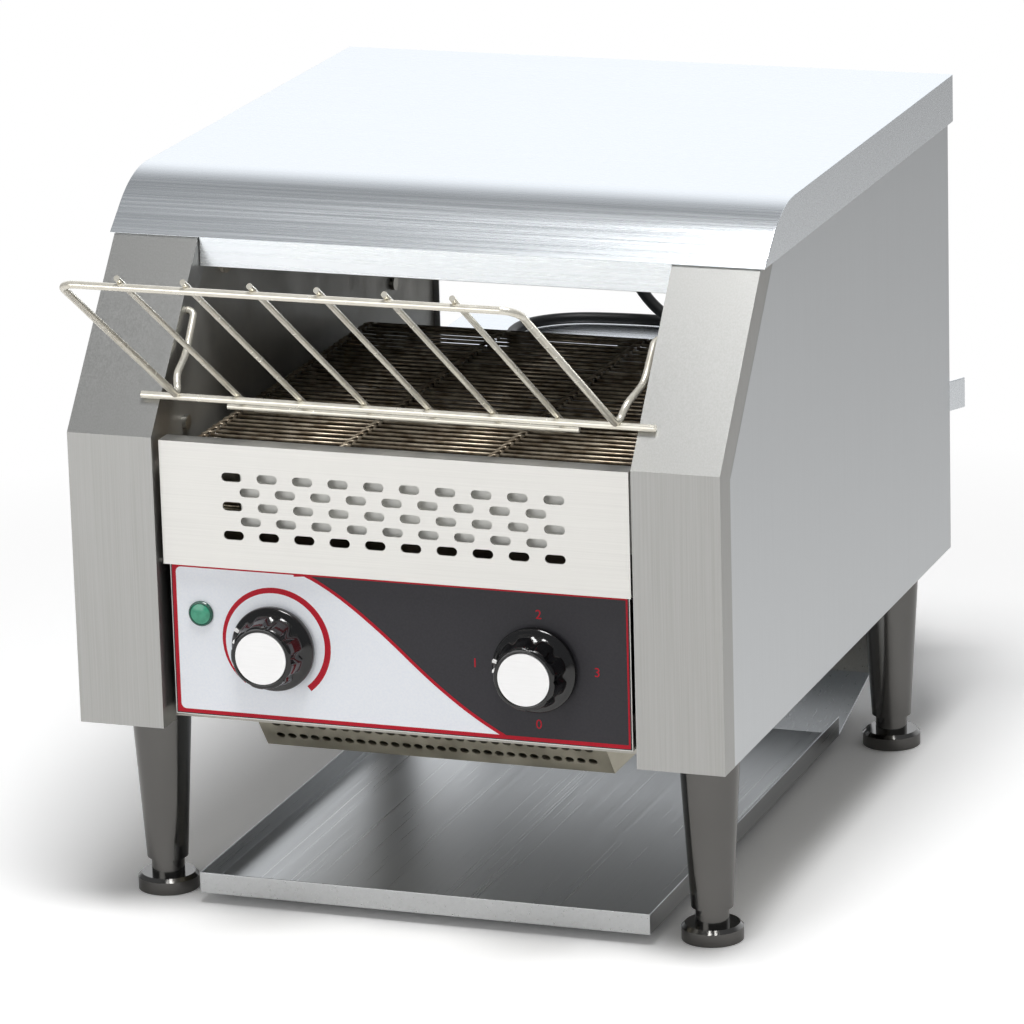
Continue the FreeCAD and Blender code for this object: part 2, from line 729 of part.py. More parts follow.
def shelf_wing_piece(label, side):
    wing = doc.addObject("Part::Box", label)
    turn = -side * wing_turn
    wing.Placement = FreeCAD.Placement(FreeCAD.Vector(), FreeCAD.Rotation(FreeCAD.Vector(0, 0, 1), turn))
    bind(wing, "Length", sheet_t)
    bind(wing, "Width", shelf_wing)
    bind(wing, "Height", shelf_strip)
    if side > 0:
        place(wing, base_half - sheet_t * cosine(wing_turn), y_rear + sheet_t * sine(wing_turn), strip_low)
    else:
        place(wing, -base_half, y_rear, strip_low)
    return wing


finished("rear_shelf", fuse("rear_shelf", [shelf_plate, shelf_back, shelf_lip, shelf_wing_piece("shelf_wing_right", 1),
                                           shelf_wing_piece("shelf_wing_left", -1)]))

# Heat shield over the electrics, folded down in front of the toast drop
shield_half = x_wall - seat_gap
shield_front = y_front + post_return + seat_gap
shield_rear = y_drop_low - seat_gap
shield_flat = block("shield_flat", sides(shield_half), (shield_front, shield_rear), (shield_z - sheet_t, shield_z))
shield_leg = block("shield_leg", sides(shield_half), (shield_rear - sheet_t, shield_rear),
                   (z_base + sheet_t, shield_z))
finished("heat_shield", fuse("heat_shield", [shield_flat, shield_leg]))

# Reflectors above and inside the belt loop
reflector_reach = 22 * sheet_t
reflector_front = y_upper_heater - reflector_reach
reflector_rear = y_upper_heater + 2 * heater_pitch + reflector_reach
upper_reflector_z = upper_heater_z + 12 * sheet_t
skirt_low = upper_heater_z + 3 * sheet_t
reflector_roof = block("reflector_roof", sides(shield_half), (reflector_front, reflector_rear),
                       (upper_reflector_z, upper_reflector_z + sheet_t))
reflector_skirts = [block("reflector_skirt_front", sides(shield_half), (reflector_front, reflector_front + sheet_t),
                          (skirt_low, upper_reflector_z)),
                    block("reflector_skirt_rear", sides(shield_half), (reflector_rear - sheet_t, reflector_rear),
                          (skirt_low, upper_reflector_z))]
finished("upper_reflector", fuse("upper_reflector", [reflector_roof] + reflector_skirts))
lower_reflector_z = lower_heater_z - 18 * sheet_t
finished("lower_reflector", block("lower_reflector", sides(shield_half),
                                  (y_idler + belt_loop_r + 10 * sheet_t, y_drive - belt_loop_r - 10 * sheet_t),
                                  (lower_reflector_z, lower_reflector_z + sheet_t)))

# Heating tubes and the ceramic bushings that hold their ends in the walls
heater_half = x_wall + sheet_t + heater_end


def heater_tube(name):
    y, z = heater_places[name]
    return rod("heater_" + name, "X", heater_r, 2 * heater_half, -heater_half, y, z)


def heater_bushing(name, side):
    y, z = heater_places[name]
    inner = x_wall - bushing_flange_t
    length = bushing_flange_t + sheet_t + 4 * sheet_t
    start = inner if side > 0 else -inner - length
    flange_start = inner if side > 0 else -x_wall
    tag = f"{name}_{'right' if side > 0 else 'left'}"
    barrel = rod("bushing_barrel_" + tag, "X", bushing_r, length, start, y, z)
    flange = rod("bushing_flange_" + tag, "X", bushing_flange_r, bushing_flange_t, flange_start, y, z)
    bore = rod("bushing_bore_" + tag, "X", heater_r + run_fit, length + 2 * sheet_t, start - sheet_t, y, z)
    return cut("bushing_" + tag, fuse("bushing_blank_" + tag, [barrel, flange]), [bore])


finished("upper_heaters", group("upper_heaters", [heater_tube(f"upper_{i}") for i in range(3)]))
finished("lower_heaters", group("lower_heaters", [heater_tube(f"lower_{i}") for i in range(3)]))
finished("heater_bushings", group("heater_bushings",
                                  [heater_bushing(name, side) for name in heater_places for side in (-1, 1)]))

# Belt shafts in flanged bushes, each with four toothed wheels
shaft_left = x_wall + sheet_t + 6 * sheet_t
drive_right = chain_x + chain_width / 2 + 4 * sheet_t
sprocket_places = [-0.375 * belt_width, -0.125 * belt_width, 0.125 * belt_width, 0.375 * belt_width]


def belt_sprockets(label, y):
    wheels = []
    for i, x in enumerate(sprocket_places):
        start = x - belt_sprocket_t / 2
        wheel = rod(f"{label}_wheel_{i}", "X", sprocket_r, belt_sprocket_t, start, y, belt_shaft_z)
        tools = [rod(f"{label}_bore_{i}", "X", shaft_r + run_fit, belt_sprocket_t + 2 * sheet_t, start - sheet_t, y,
                     belt_shaft_z)]
        for k in range(12):
            notch_y = y + sprocket_r * math.cos(math.radians(30 * k))
            notch_z = belt_shaft_z + sprocket_r * math.sin(math.radians(30 * k))
            tools.append(rod(f"{label}_notch_{i}_{k}", "X", 2 * sheet_t, belt_sprocket_t + 2 * sheet_t,
                             start - sheet_t, notch_y, notch_z))
        wheels.append(cut(f"{label}_{i}", wheel, tools))
    return group(label, wheels)


def shaft_bush(y, side, tag):
    inner = x_wall - bush_flange_t
    length = bush_flange_t + sheet_t + 4 * sheet_t
    start = inner if side > 0 else -inner - length
    flange_start = inner if side > 0 else -x_wall
    barrel = rod("bush_barrel_" + tag, "X", bush_r, length, start, y, belt_shaft_z)
    flange = rod("bush_flange_" + tag, "X", bush_flange_r, bush_flange_t, flange_start, y, belt_shaft_z)
    bore = rod("bush_bore_" + tag, "X", shaft_r + run_fit, length + 2 * sheet_t, start - sheet_t, y, belt_shaft_z)
    return cut("bush_" + tag, fuse("bush_blank_" + tag, [barrel, flange]), [bore])


finished("idler_shaft", rod("idler_shaft", "X", shaft_r, 2 * shaft_left, -shaft_left, y_idler, belt_shaft_z))
finished("drive_shaft", rod("drive_shaft", "X", shaft_r, shaft_left + drive_right, -shaft_left, y_drive, belt_shaft_z))
finished("idler_sprockets", belt_sprockets("idler_sprockets", y_idler))
finished("drive_sprockets", belt_sprockets("drive_sprockets", y_drive))
finished("shaft_bushes", group("shaft_bushes", [
    shaft_bush(y, side, f"{name}_{'right' if side > 0 else 'left'}")
    for name, y in shaft_places.items() for side in (-1, 1)]))


# A closed band round two wheels, as a solid of the given width along X
def band(first, first_r, second, second_r, start_x, band_width, thickness):
    def filled(extra):
        gap = second - first
        distance = gap.Length
        tilt = math.atan2(gap.z, gap.y)
        small, large = first_r + extra, second_r + extra
        lean = math.asin((small - large) / distance)
        points = []
        for side in (1, -1):
            angle = tilt + side * (math.pi / 2 - lean)
            outward = FreeCAD.Vector(0, math.cos(angle), math.sin(angle))
            points.append((first + outward * small, second + outward * large))
        middle_first = first - gap / distance * small
        middle_second = second + gap / distance * large
        edges = [Part.LineSegment(points[0][0], points[0][1]).toShape(),
                 Part.Arc(points[0][1], middle_second, points[1][1]).toShape(),
                 Part.LineSegment(points[1][1], points[1][0]).toShape(),
                 Part.Arc(points[1][0], middle_first, points[0][0]).toShape()]
        face = Part.Face(Part.Wire(edges))
        solid = face.extrude(FreeCAD.Vector(band_width, 0, 0))
        solid.translate(FreeCAD.Vector(start_x, 0, 0))
        return solid
    return filled(thickness).cut(filled(0.0))


# Conveyor belt: a wire band with three lanes of cross-wise gaps
def conveyor_belt():
    inner_r = number(belt_loop_r - belt_t / 2)
    loop = band(vector(0, y_idler, belt_shaft_z), inner_r, vector(0, y_drive, belt_shaft_z), inner_r,
                number(-belt_width / 2), number(belt_width), number(belt_t))
    lane = (belt_width - 4 * belt_lane_gap) / 3
    slot = number(belt_pitch - belt_wire)
    count = int(number((shaft_span - 2 * belt_pitch) / belt_pitch))
    first = number(y_idler + belt_pitch)
    low = number(belt_shaft_z - belt_loop_r - belt_t)
    height = number(2 * belt_loop_r + 2 * belt_t)
    gaps = []
    for i in range(count):
        for k in range(3):
            x = number(-belt_width / 2 + belt_lane_gap + k * (lane + belt_lane_gap))
            start = FreeCAD.Vector(x, first + i * number(belt_pitch), low)
            gaps.append(Part.makeBox(number(lane), slot, height, start))
    return shaped("conveyor_belt", loop.cut(Part.makeCompound(gaps)))


finished("conveyor_belt", conveyor_belt())

# Gear motor in the right-hand housing, with its chain drive to the rear shaft
y_motor = y_drive - motor_back
z_motor = belt_shaft_z - motor_drop
x_gearbox = x_wall + sheet_t + seat_gap
gearbox_right = chain_x - chain_width / 2 - 4 * sheet_t
gearbox = block("gearbox", (x_gearbox, gearbox_right), (y_motor - 30 * sheet_t, y_motor + 30 * sheet_t),
                (z_motor - 34 * sheet_t, z_motor + 22 * sheet_t))
motor_stack = block("motor_stack", (x_gearbox + 4 * sheet_t, gearbox_right),
                    (y_motor - 92 * sheet_t, y_motor - 30 * sheet_t), (z_motor - 30 * sheet_t, z_motor + 18 * sheet_t))
motor_bore = rod("motor_bore", "X", motor_shaft_r + run_fit, 18 * sheet_t, gearbox_right - 16 * sheet_t, y_motor,
                 z_motor)
finished("gear_motor", cut("gear_motor", fuse("motor_blank", [gearbox, motor_stack]), [motor_bore]))


def chain_wheel(label, radius, y, z, teeth, bore_r):
    start = chain_x - chain_width / 2
    wheel = rod(label + "_wheel", "X", radius, chain_width, start, y, z)
    tools = []
    if bore_r is not None:
        tools.append(rod(label + "_bore", "X", bore_r + run_fit, chain_width + 2 * sheet_t, start - sheet_t, y, z))
    for k in range(teeth):
        angle = math.radians(360 / teeth * k)
        tools.append(rod(f"{label}_notch_{k}", "X", 1.6 * sheet_t, chain_width + 2 * sheet_t, start - sheet_t,
                         y + radius * math.cos(angle), z + radius * math.sin(angle)))
    return cut(label, wheel, tools)


driven_teeth = 22
motor_teeth = 14
finished("driven_sprocket", chain_wheel("driven_sprocket", driven_sprocket_r, y_drive, belt_shaft_z, driven_teeth,
                                        shaft_r))
motor_shaft = rod("motor_shaft", "X", motor_shaft_r, chain_x + chain_width / 2 - gearbox_right + 14 * sheet_t,
                  gearbox_right - 14 * sheet_t, y_motor, z_motor)
finished("motor_sprocket", fuse("motor_sprocket", [
    motor_shaft, chain_wheel("motor_wheel", motor_sprocket_r, y_motor, z_motor, motor_teeth, None)]))
finished("drive_chain", shaped("drive_chain", band(
    vector(0, y_motor, z_motor), number(motor_sprocket_r + seat_gap), vector(0, y_drive, belt_shaft_z),
    number(driven_sprocket_r + seat_gap), number(chain_x - chain_width / 2), number(chain_width), number(chain_t))))

# Cooling fan on the base pan
z_pan = z_base + sheet_t


def fan_frame():
    half = fan_size / 2
    frame = block("fan_case", sides(half), (y_fan - half, y_fan + half), (z_pan, z_pan + fan_t))
    duct = cut("fan_duct", frame, [rod("fan_duct_bore", "Z", fan_bore_r, fan_t + 2 * sheet_t, 0 * sheet_t, y_fan,
                                       z_pan - sheet_t)])
    spoke_half = 2.5 * sheet_t
    spider = [rod("fan_boss", "Z", fan_hub_r - sheet_t, 4 * sheet_t, 0 * sheet_t, y_fan, z_pan),
              rod("fan_pin", "Z", fan_pin_r, fan_t - 2 * sheet_t, 0 * sheet_t, y_fan, z_pan),
              block("fan_spoke_x", sides(fan_bore_r + sheet_t), (y_fan - spoke_half, y_fan + spoke_half),
                    (z_pan, z_pan + 3 * sheet_t)),
              block("fan_spoke_y", sides(spoke_half), (y_fan - fan_bore_r - sheet_t, y_fan + fan_bore_r + sheet_t),
                    (z_pan, z_pan + 3 * sheet_t))]
    return fuse("fan_frame", [duct] + spider)


def fan_rotor():
    low = z_pan + 4 * sheet_t + seat_gap
    height = fan_t - 6 * sheet_t
    hub = rod("fan_hub", "Z", fan_hub_r, height, 0 * sheet_t, y_fan, low)
    pieces = [hub]
    for i in range(7):
        blade = doc.addObject("Part::Box", f"fan_blade_{i}")
        turn = FreeCAD.Rotation(FreeCAD.Vector(0, 0, 1), 360 / 7 * i)
        lean = FreeCAD.Rotation(FreeCAD.Vector(1, 0, 0), 38)
        blade.Placement = FreeCAD.Placement(FreeCAD.Vector(), turn.multiply(lean))
        bind(blade, "Length", fan_tip_r - sheet_t)
        bind(blade, "Width", 20 * sheet_t)
        bind(blade, "Height", 1.5 * sheet_t)
        place(blade, 0 * sheet_t, y_fan, low + 2 * sheet_t)
        pieces.append(blade)
    swept = fuse("fan_wheel", pieces)
    room = doc.addObject("Part::Common", "fan_trim")
    room.Base = swept
    room.Tool = rod("fan_envelope", "Z", fan_tip_r, height, 0 * sheet_t, y_fan, low)
    bore = rod("fan_bore", "Z", fan_pin_r + run_fit, height + 2 * sheet_t, 0 * sheet_t, y_fan, low - sheet_t)
    return cut("fan_rotor", room, [bore])


finished("fan_frame", fan_frame())
finished("fan_rotor", fan_rotor())


# Perforated guard under the base, in front of and below the fan's intake
def fan_guard():
    front = y_front + guard_front
    rear = front + guard_depth
    low = z_base - guard_drop
    inner_front = front + sheet_t / sine(52)
    outline = [(front, z_base), (front + guard_slope_run, low), (rear, low), (rear, z_base)]
    outer = plate("guard_outer", "YZ_Plane", outline, -guard_half, 2 * guard_half)
    hollow_outline = [(inner_front - sheet_t, z_base + sheet_t), (front + guard_slope_run + sheet_t, low + sheet_t),
                      (rear - sheet_t, low + sheet_t), (rear - sheet_t, z_base + sheet_t)]
    hollow = plate("guard_hollow", "YZ_Plane", hollow_outline, -guard_half + sheet_t, 2 * guard_half - 2 * sheet_t)
    holes = []
    slope = math.atan2(number(guard_drop), number(guard_slope_run))
    inward = FreeCAD.Vector(0, math.sin(slope), math.cos(slope))
    for row in range(2):
        share = 0.36 + 0.34 * (1 - row)
        count = 28
        for i in range(count):
            x = (i - (count - 1) / 2) * number(guard_hole_pitch)
            middle = vector(x, front + guard_slope_run * share, z_base - guard_drop * share)
            holes.append(Part.makeCylinder(number(guard_hole_r), 8, middle - inward * 4, inward))
    return cut("fan_guard", outer, [hollow, shaped("guard_holes", Part.makeCompound(holes))])


finished("fan_guard", fan_guard())


# Legs of turned steel with screwed feet
def leg(label, x, y):
    low = foot_disc_t + foot_neck + seat_gap
    cone = taper(label + "_cone", "Z", leg_low_r, leg_top_r, z_base - low, x, y, low)
    stud = rod(label + "_stud", "Z", foot_stud_r, 10 * sheet_t, x, y, z_base)
    bore = rod(label + "_bore", "Z", foot_stud_r + stud_fit, foot_stud + 2 * sheet_t, x, y, low - sheet_t)
    return cut(label, fuse(label + "_blank", [cone, stud]), [bore])


def foot(label, x, y):
    bevel = 2 * sheet_t
    disc = rod(label + "_disc", "Z", foot_disc_r, foot_disc_t - bevel, x, y, 0 * sheet_t)
    rim = taper(label + "_rim", "Z", foot_disc_r, foot_disc_r - bevel, bevel, x, y, foot_disc_t - bevel)
    neck = rod(label + "_neck", "Z", foot_neck_r, foot_neck, x, y, foot_disc_t)
    stud = rod(label + "_stud", "Z", foot_stud_r, foot_stud, x, y, foot_disc_t)
    return fuse(label, [disc, rim, neck, stud])


def leg_nut(tag, x, y):
    nut = doc.addObject("Part::Prism", "nut_blank_" + tag)
    nut.Polygon = 6
    bind(nut, "Circumradius", nut_r)
    bind(nut, "Height", nut_t)
    place(nut, x, y, z_pan)
    bore = rod("nut_bore_" + tag, "Z", foot_stud_r + stud_fit, nut_t + 2 * sheet_t, x, y, z_pan - sheet_t)
    return cut("nut_" + tag, nut, [bore])


for corner, (x, y) in leg_places.items():
    finished("leg_" + corner, leg("leg_" + corner, x, y))
    finished("foot_" + corner, foot("foot_" + corner, x, y))
finished("leg_nuts", group("leg_nuts", [leg_nut(corner, x, y) for corner, (x, y) in leg_places.items()]))


# Toast tray: lip, floor with pressed feet, side flanges, and the ramp that bends up to a stop at the back
def toast_tray():
    front = y_front + tray_front
    bend = front + tray_flat
    top = tray_low + sheet_t
    ramp_y = bend + ramp_length * cosine(ramp_angle)
    ramp_z = ramp_length * sine(ramp_angle)
    stop_y = ramp_y + stop_length * cosine(stop_angle)
    stop_z = ramp_z + stop_length * sine(stop_angle)
    slip = sheet_t * tangent(ramp_angle / 2)
    tip_y = sheet_t * sine(stop_angle)
    tip_z = sheet_t * cosine(stop_angle)
    turn = (stop_angle - ramp_angle) / 2
    knee = sheet_t / cosine(turn)
    knee_angle = ramp_angle + turn
    floor_line = [(front, tray_low), (bend + slip, tray_low),
                  (ramp_y + knee * sine(knee_angle), tray_low + ramp_z - (knee * cosine(knee_angle) - sheet_t)),
                  (stop_y + tip_y, top + stop_z - tip_z), (stop_y, top + stop_z),
                  (ramp_y, top + ramp_z), (bend, top), (front, top)]
    floor = plate("tray_floor", "YZ_Plane", floor_line, -tray_half, 2 * tray_half)
    lip = block("tray_lip", sides(tray_half), (front, front + sheet_t), (tray_low, tray_low + tray_lip))
    pieces = [floor, lip]
    for side, low in (("left", -tray_half), ("right", tray_half - sheet_t)):
        pieces.append(block("tray_flange_" + side, (low, low + sheet_t), (front, bend),
                            (tray_low, tray_low + tray_lip)))
        foot_x = -tray_half + dimple_inset if side == "left" else tray_half - dimple_inset
        for end, foot_y in (("front", front + dimple_inset), ("rear", bend - dimple_inset)):
            pieces.append(taper(f"tray_foot_{side}_{end}", "Z", dimple_r * 0.6, dimple_r, tray_low, foot_x, foot_y,
                                0 * sheet_t))
    return fuse("toast_tray", pieces)


finished("toast_tray", toast_tray())


# Feed rack: one bent frame wire that hooks into the posts, two cross bars and three U-shaped wires
def feed_rack():
    sin_r = number(sine(rack_angle))
    cos_r = number(cosine(rack_angle))
    bar = vector(0, slant_y(rack_bar_along, bar_behind) + shift_y, slant_z(rack_bar_along, bar_behind))
    up = FreeCAD.Vector(0, -cos_r, sin_r)
    over = FreeCAD.Vector(0, sin_r, cos_r)
    half = number(rack_half)

    def on_slant(x, along, behind):
        return vector(x, slant_y(along, behind) + shift_y, slant_z(along, behind))

    def hook(side):
        return [on_slant(side * (x_open + 4 * sheet_t), rack_pivot_along, rack_pivot_depth),
                on_slant(side * (x_open - 4.1 * sheet_t), rack_pivot_along, rack_pivot_depth),
                on_slant(side * (x_open - 5.1 * sheet_t), rack_pivot_along - 26 * sheet_t, rack_pivot_depth),
                on_slant(side * (x_open - 8 * sheet_t), rack_bar_along + 12 * sheet_t, bar_behind - 1.5 * sheet_t)]

    left = hook(-1)
    right = hook(1)
    bar_left = bar + FreeCAD.Vector(-half, 0, 0)
    bar_right = bar + FreeCAD.Vector(half, 0, 0)
    top = up * number(rack_length)
    points = left + [bar_left, bar_left + top, bar_right + top, bar_right] + right[::-1]
    radii = [4, 20, 12, 6, 9, 9, 6, 12, 20, 4]
    wires = [wire_solid(rounded_path(points, radii), number(rack_wire_r))]
    bar_half = number(rack_bar_half)
    across = FreeCAD.Vector(1, 0, 0)
    wires.append(Part.makeCylinder(number(rack_wire_r), 2 * bar_half, bar - across * bar_half, across))
    lift = over * number(rod_lift)
    rod_r = number(rack_rod_r)
    low_bar = bar - up * number(rack_second_bar) + over * 0.2
    low_half = number(2.5 * rack_rod_pitch + 9 * sheet_t)
    wires.append(Part.makeCylinder(rod_r, 2 * low_half, low_bar - across * low_half, across))
    reach = up * number(rack_length + rack_wire_r + rack_nub)
    drop = up * number(rack_loop_end)
    for pair in (-1, 0, 1):
        middle = across * (2 * pair * number(rack_rod_pitch))
        arm = across * (number(rack_rod_pitch) / 2)
        start = bar + lift + middle
        loop = [start - arm + reach, start - arm - drop, start + arm - drop, start + arm + reach]
        wires.append(wire_solid(rounded_path(loop, [5, 5]), rod_r))
    return shaped("feed_rack", wires[0].fuse(wires[1:]))


finished("feed_rack", feed_rack())


# Terminal block, cord gland and the screws that hold the sheets
def terminal_block():
    x = -x_side + 12 * sheet_t
    y = y_rear - 170 * sheet_t
    case = block("terminal_case", (x, x + 24 * sheet_t), (y, y + 60 * sheet_t), (z_pan, z_pan + 22 * sheet_t))
    tools = []
    for i in range(5):
        tools.append(rod(f"terminal_well_{i}", "Z", 3 * sheet_t, 12 * sheet_t, x + 12 * sheet_t,
                         y + (6 + 12 * i) * sheet_t, z_pan + 12 * sheet_t))
    return cut("terminal_block", case, tools)


finished("terminal_block", terminal_block())

gland_flange = rod("gland_flange", "Y", gland_flange_r, gland_flange_t, gland_x, y_rear, gland_z)
gland_neck = rod("gland_neck", "Y", cord_r + 3 * sheet_t, 8 * sheet_t, gland_x, y_rear - 6 * sheet_t, gland_z)
gland_boot = taper("gland_boot", "Y", cord_r + 3 * sheet_t, cord_r + sheet_t, gland_length, gland_x,
                   y_rear + gland_flange_t, gland_z)
finished("cord_gland", fuse("cord_gland", [gland_flange, gland_neck, gland_boot]))


def screw(tag, axis, side, x, y, z):
    length = 10 * sheet_t
    if axis == "Y":
        head = rod("screw_head_" + tag, "Y", screw_head_r, screw_head_t, x, y, z)
        shank = rod("screw_shank_" + tag, "Y", screw_r, length, x, y - length, z)
    else:
        head_x = x - screw_head_t if side > 0 else x
        shank_x = x if side > 0 else x - length
        head = rod("screw_head_" + tag, "X", screw_head_r, screw_head_t, head_x, y, z)
        shank = rod("screw_shank_" + tag, "X", screw_r, length, shank_x, y, z)
    return fuse("screw_" + tag, [head, shank])


screws = [screw(f"rear_{i}", "Y", 0, x, y_rear, z) for i, (x, z) in enumerate(rear_screw_places)]
for side in (-1, 1):
    for i, (y, z) in enumerate(wall_bolt_places):
        screws.append(screw(f"wall_{i}_{'right' if side > 0 else 'left'}", "X", side, side * x_wall, y, z))
finished("machine_screws", group("machine_screws", screws))

# Power cord: its route from the gland, once round on the shelf, over the edge and down to the floor
cord_lift = 0.3
cord_route = [
    (-38, 248, 292),
    (-38, 276, 292),
    (-38, 296, 272),
    (-38, 296.5, 243),
    (-14.5, 296, 216.3),
    (17, 295, 214.3),
    (50, 299.5, 214.3),
    (73.5, 280.9, 214.3),
    (76.3, 251, 214.3),
    (56.7, 228.3, 214.3),
    (14, 226, 214.3),
    (-34, 225.6, 214.3),
    (-78, 227, 214.3),
    (-101, 248.5, 214.3),
    (-101.5, 279.5, 214.3),
    (-79.5, 301, 214.3),
    (-42, 306, 214.3),
    (-8, 305.6, 214.3),
    (26, 308, 214.3),
    (66, 317, 214.3),
    (92, 338, 190),
    (104, 348, 148),
    (107, 352, 102),
    (104, 354, 58),
    (94.8, 355.3, 22.8),
    (68.6, 365.8, 3.8),
    (38, 378, 3.8),
]


def arc_radii(route):
    radii = []
    for i in range(1, len(route) - 1):
        back = route[i - 1] - route[i]
        ahead = route[i + 1] - route[i]
        half_turn = (math.pi - back.getAngle(ahead)) / 2
        radii.append(0.45 * min(back.Length, ahead.Length) / math.tan(half_turn))
    return radii


def share_of_volume(tube, path):
    return round(tube.Volume / (math.pi * number(cord_r) ** 2 * path.Length), 4)


cord_points = [FreeCAD.Vector(x, y + number(shift_y), z) for x, y, z in cord_route]
cord_path = rounded_path(cord_points, arc_radii(cord_points))
cord_tube = wire_solid(cord_path, number(cord_r))
print("cord radii", [round(r, 1) for r in arc_radii(cord_points)])
print("cord length", round(cord_path.Length, 1), "volume share", share_of_volume(cord_tube, cord_path))
finished("power_cord", shaped("power_cord", cord_tube))

# The put-away length lies behind the machine: two layers of loops that spiral in, climb and spiral out again
coil_inner_r = 33
coil_pitch = 9
coil_layer_turns = 1.25
coil_climb_turns = 0.5
coil_layer = 7.6
coil_lead = 8
coil_turns = 2 * coil_layer_turns + coil_climb_turns
coil_outer_r = coil_inner_r + coil_pitch * coil_layer_turns
coil_heading = (cord_points[-1] - cord_points[-2]).normalize()
coil_start = cord_points[-1] + coil_heading * coil_lead
coil_drift = math.atan(coil_pitch / (2 * math.pi * coil_outer_r))
coil_angle = math.atan2(coil_heading.y, coil_heading.x) - math.pi / 2 - coil_drift
coil_middle = coil_start - FreeCAD.Vector(math.cos(coil_angle), math.sin(coil_angle), 0) * coil_outer_r


def coil_point(turn):
    climbed = min(max((turn - coil_layer_turns) / coil_climb_turns, 0), 1)
    outward = max(coil_layer_turns - turn, turn - coil_layer_turns - coil_climb_turns, 0)
    radius = coil_inner_r + coil_pitch * outward
    angle = coil_angle + 2 * math.pi * turn
    lift = coil_layer * climbed * climbed * (3 - 2 * climbed)
    return coil_middle + FreeCAD.Vector(radius * math.cos(angle), radius * math.sin(angle), lift)


def coil_tangent(turn):
    step = 0.001
    return (coil_point(turn + step) - coil_point(turn - step)).normalize()


def tangent_arc(start, corner, end):
    middle = (start + end) / 2
    half_chord = (end - start).Length / 2
    bulge = corner - middle
    rise = half_chord * math.tan(math.atan2(bulge.Length, half_chord) / 2)
    return Part.Arc(start, middle + bulge.normalize() * rise, end).toShape()


def biarc(start, start_way, end, end_way):
    chord = end - start
    both = start_way + end_way
    a = 2 - 2 * start_way.dot(end_way)
    b = 2 * chord.dot(both)
    reach = (-b + math.sqrt(b * b + 4 * a * chord.dot(chord))) / (2 * a)
    first = start + start_way * reach
    last = end - end_way * reach
    joint = (first + last) / 2
    return [tangent_arc(start, first, joint), tangent_arc(joint, last, end)]


# The loops end in a short bend that rises to the height of the plug's cord entry
plug_r = 18
plug_lift = plug_r + cord_lift
exit_runs = [22, 25, 25, 25, 22]
exit_rises = [0, 2.2, 2.8, 1.9, 0]
plug_heading = 1.5 * math.pi
exit_heading = math.atan2(coil_tangent(coil_turns - 0.002).y, coil_tangent(coil_turns - 0.002).x)
exit_turn = (plug_heading - exit_heading) / (len(exit_runs) - 1)


def coil_path():
    quarters = round(4 * coil_turns)
    nodes = [(coil_point(i / 4), coil_tangent(i / 4)) for i in range(quarters + 1)]
    nodes[0] = (coil_start, coil_heading)
    nodes[-1] = (nodes[-1][0], FreeCAD.Vector(math.cos(exit_heading), math.sin(exit_heading), 0))
    edges = [Part.LineSegment(cord_points[-1], coil_start).toShape()]
    for (start, start_way), (end, end_way) in zip(nodes, nodes[1:]):
        edges += biarc(start, start_way, end, end_way)
    route = [nodes[-1][0]]
    risen = sum(exit_rises)
    for i, run in enumerate(exit_runs):
        heading = exit_heading + i * exit_turn
        rise = exit_rises[i] * (plug_lift - nodes[-1][0].z) / risen
        route.append(route[-1] + FreeCAD.Vector(run * math.cos(heading), run * math.sin(heading), rise))
    print("exit radii", [round(r, 1) for r in arc_radii(route)])
    edges += rounded_path(route, arc_radii(route)).Edges
    return Part.Wire(edges), route[-1]


def least_gap(path):
    step = 3
    points = path.discretize(Distance=step)
    apart = round(12 * number(cord_r) / step)
    gaps = [(points[j] - points[i]).Length for i in range(len(points)) for j in range(i + apart, len(points))]
    return round(min(gaps) - 2 * number(cord_r), 3)


loops, plug_entry = coil_path()
loops_tube = wire_solid(loops, number(cord_r))
print("coil length", round(loops.Length, 1), "volume share", share_of_volume(loops_tube, loops), "least gap",
      least_gap(loops), "least gap of the free stretch", least_gap(cord_path))
finished("cord_coil", shaped("cord_coil", loops_tube))

# Earthed plug, with its pins pointing to the front
plug_body = 34
plug_boot = 22
plug_pin = 19
plug_pin_half = 9.5


def plug():
    x, y, z = plug_entry.x, plug_entry.y, plug_entry.z
    body = taper("plug_body", "Y", plug_r, 15, plug_body, x, y - plug_boot - plug_body, z)
    boot = taper("plug_boot", "Y", 9, cord_r + sheet_t, plug_boot, x, y - plug_boot, z)
    pins = [rod(f"plug_pin_{i}", "Y", 2.4, plug_pin, x + side * plug_pin_half, y - plug_boot - plug_body - plug_pin,
                z) for i, side in enumerate((-1, 1))]
    return fuse("plug", [body, boot] + pins)


finished("plug", plug())

doc.recompute()


# Every object is sound before any file is written
def check():
    failed = []
    for obj in doc.Objects:
        if "Invalid" in obj.State or "Error" in obj.State:
            failed.append((obj.Name, obj.State))
    for obj in subparts:
        if obj.Shape.isNull() or not obj.Shape.isValid():
            failed.append((obj.Label, "shape"))
    if failed:
        raise RuntimeError(f"failed objects: {failed}")


check()
for obj in subparts:
    obj.Shape.exportStep(f"parts/{obj.Label}.step")

cord_labels = ("power_cord", "cord_coil", "plug")
whole = FreeCAD.BoundBox()
for obj in subparts:
    if obj.Label not in cord_labels:
        whole.add(obj.Shape.BoundBox)
print("nodes", len(subparts))
print("size", round(whole.XLength, 2), round(whole.YLength, 2), round(whole.ZLength, 2))
print("middle", round(whole.Center.x, 3), round(whole.Center.y, 3), "floor", round(whole.ZMin, 3))
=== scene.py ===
import json
import math

import bmesh
import bpy
from mathutils import Matrix, Vector


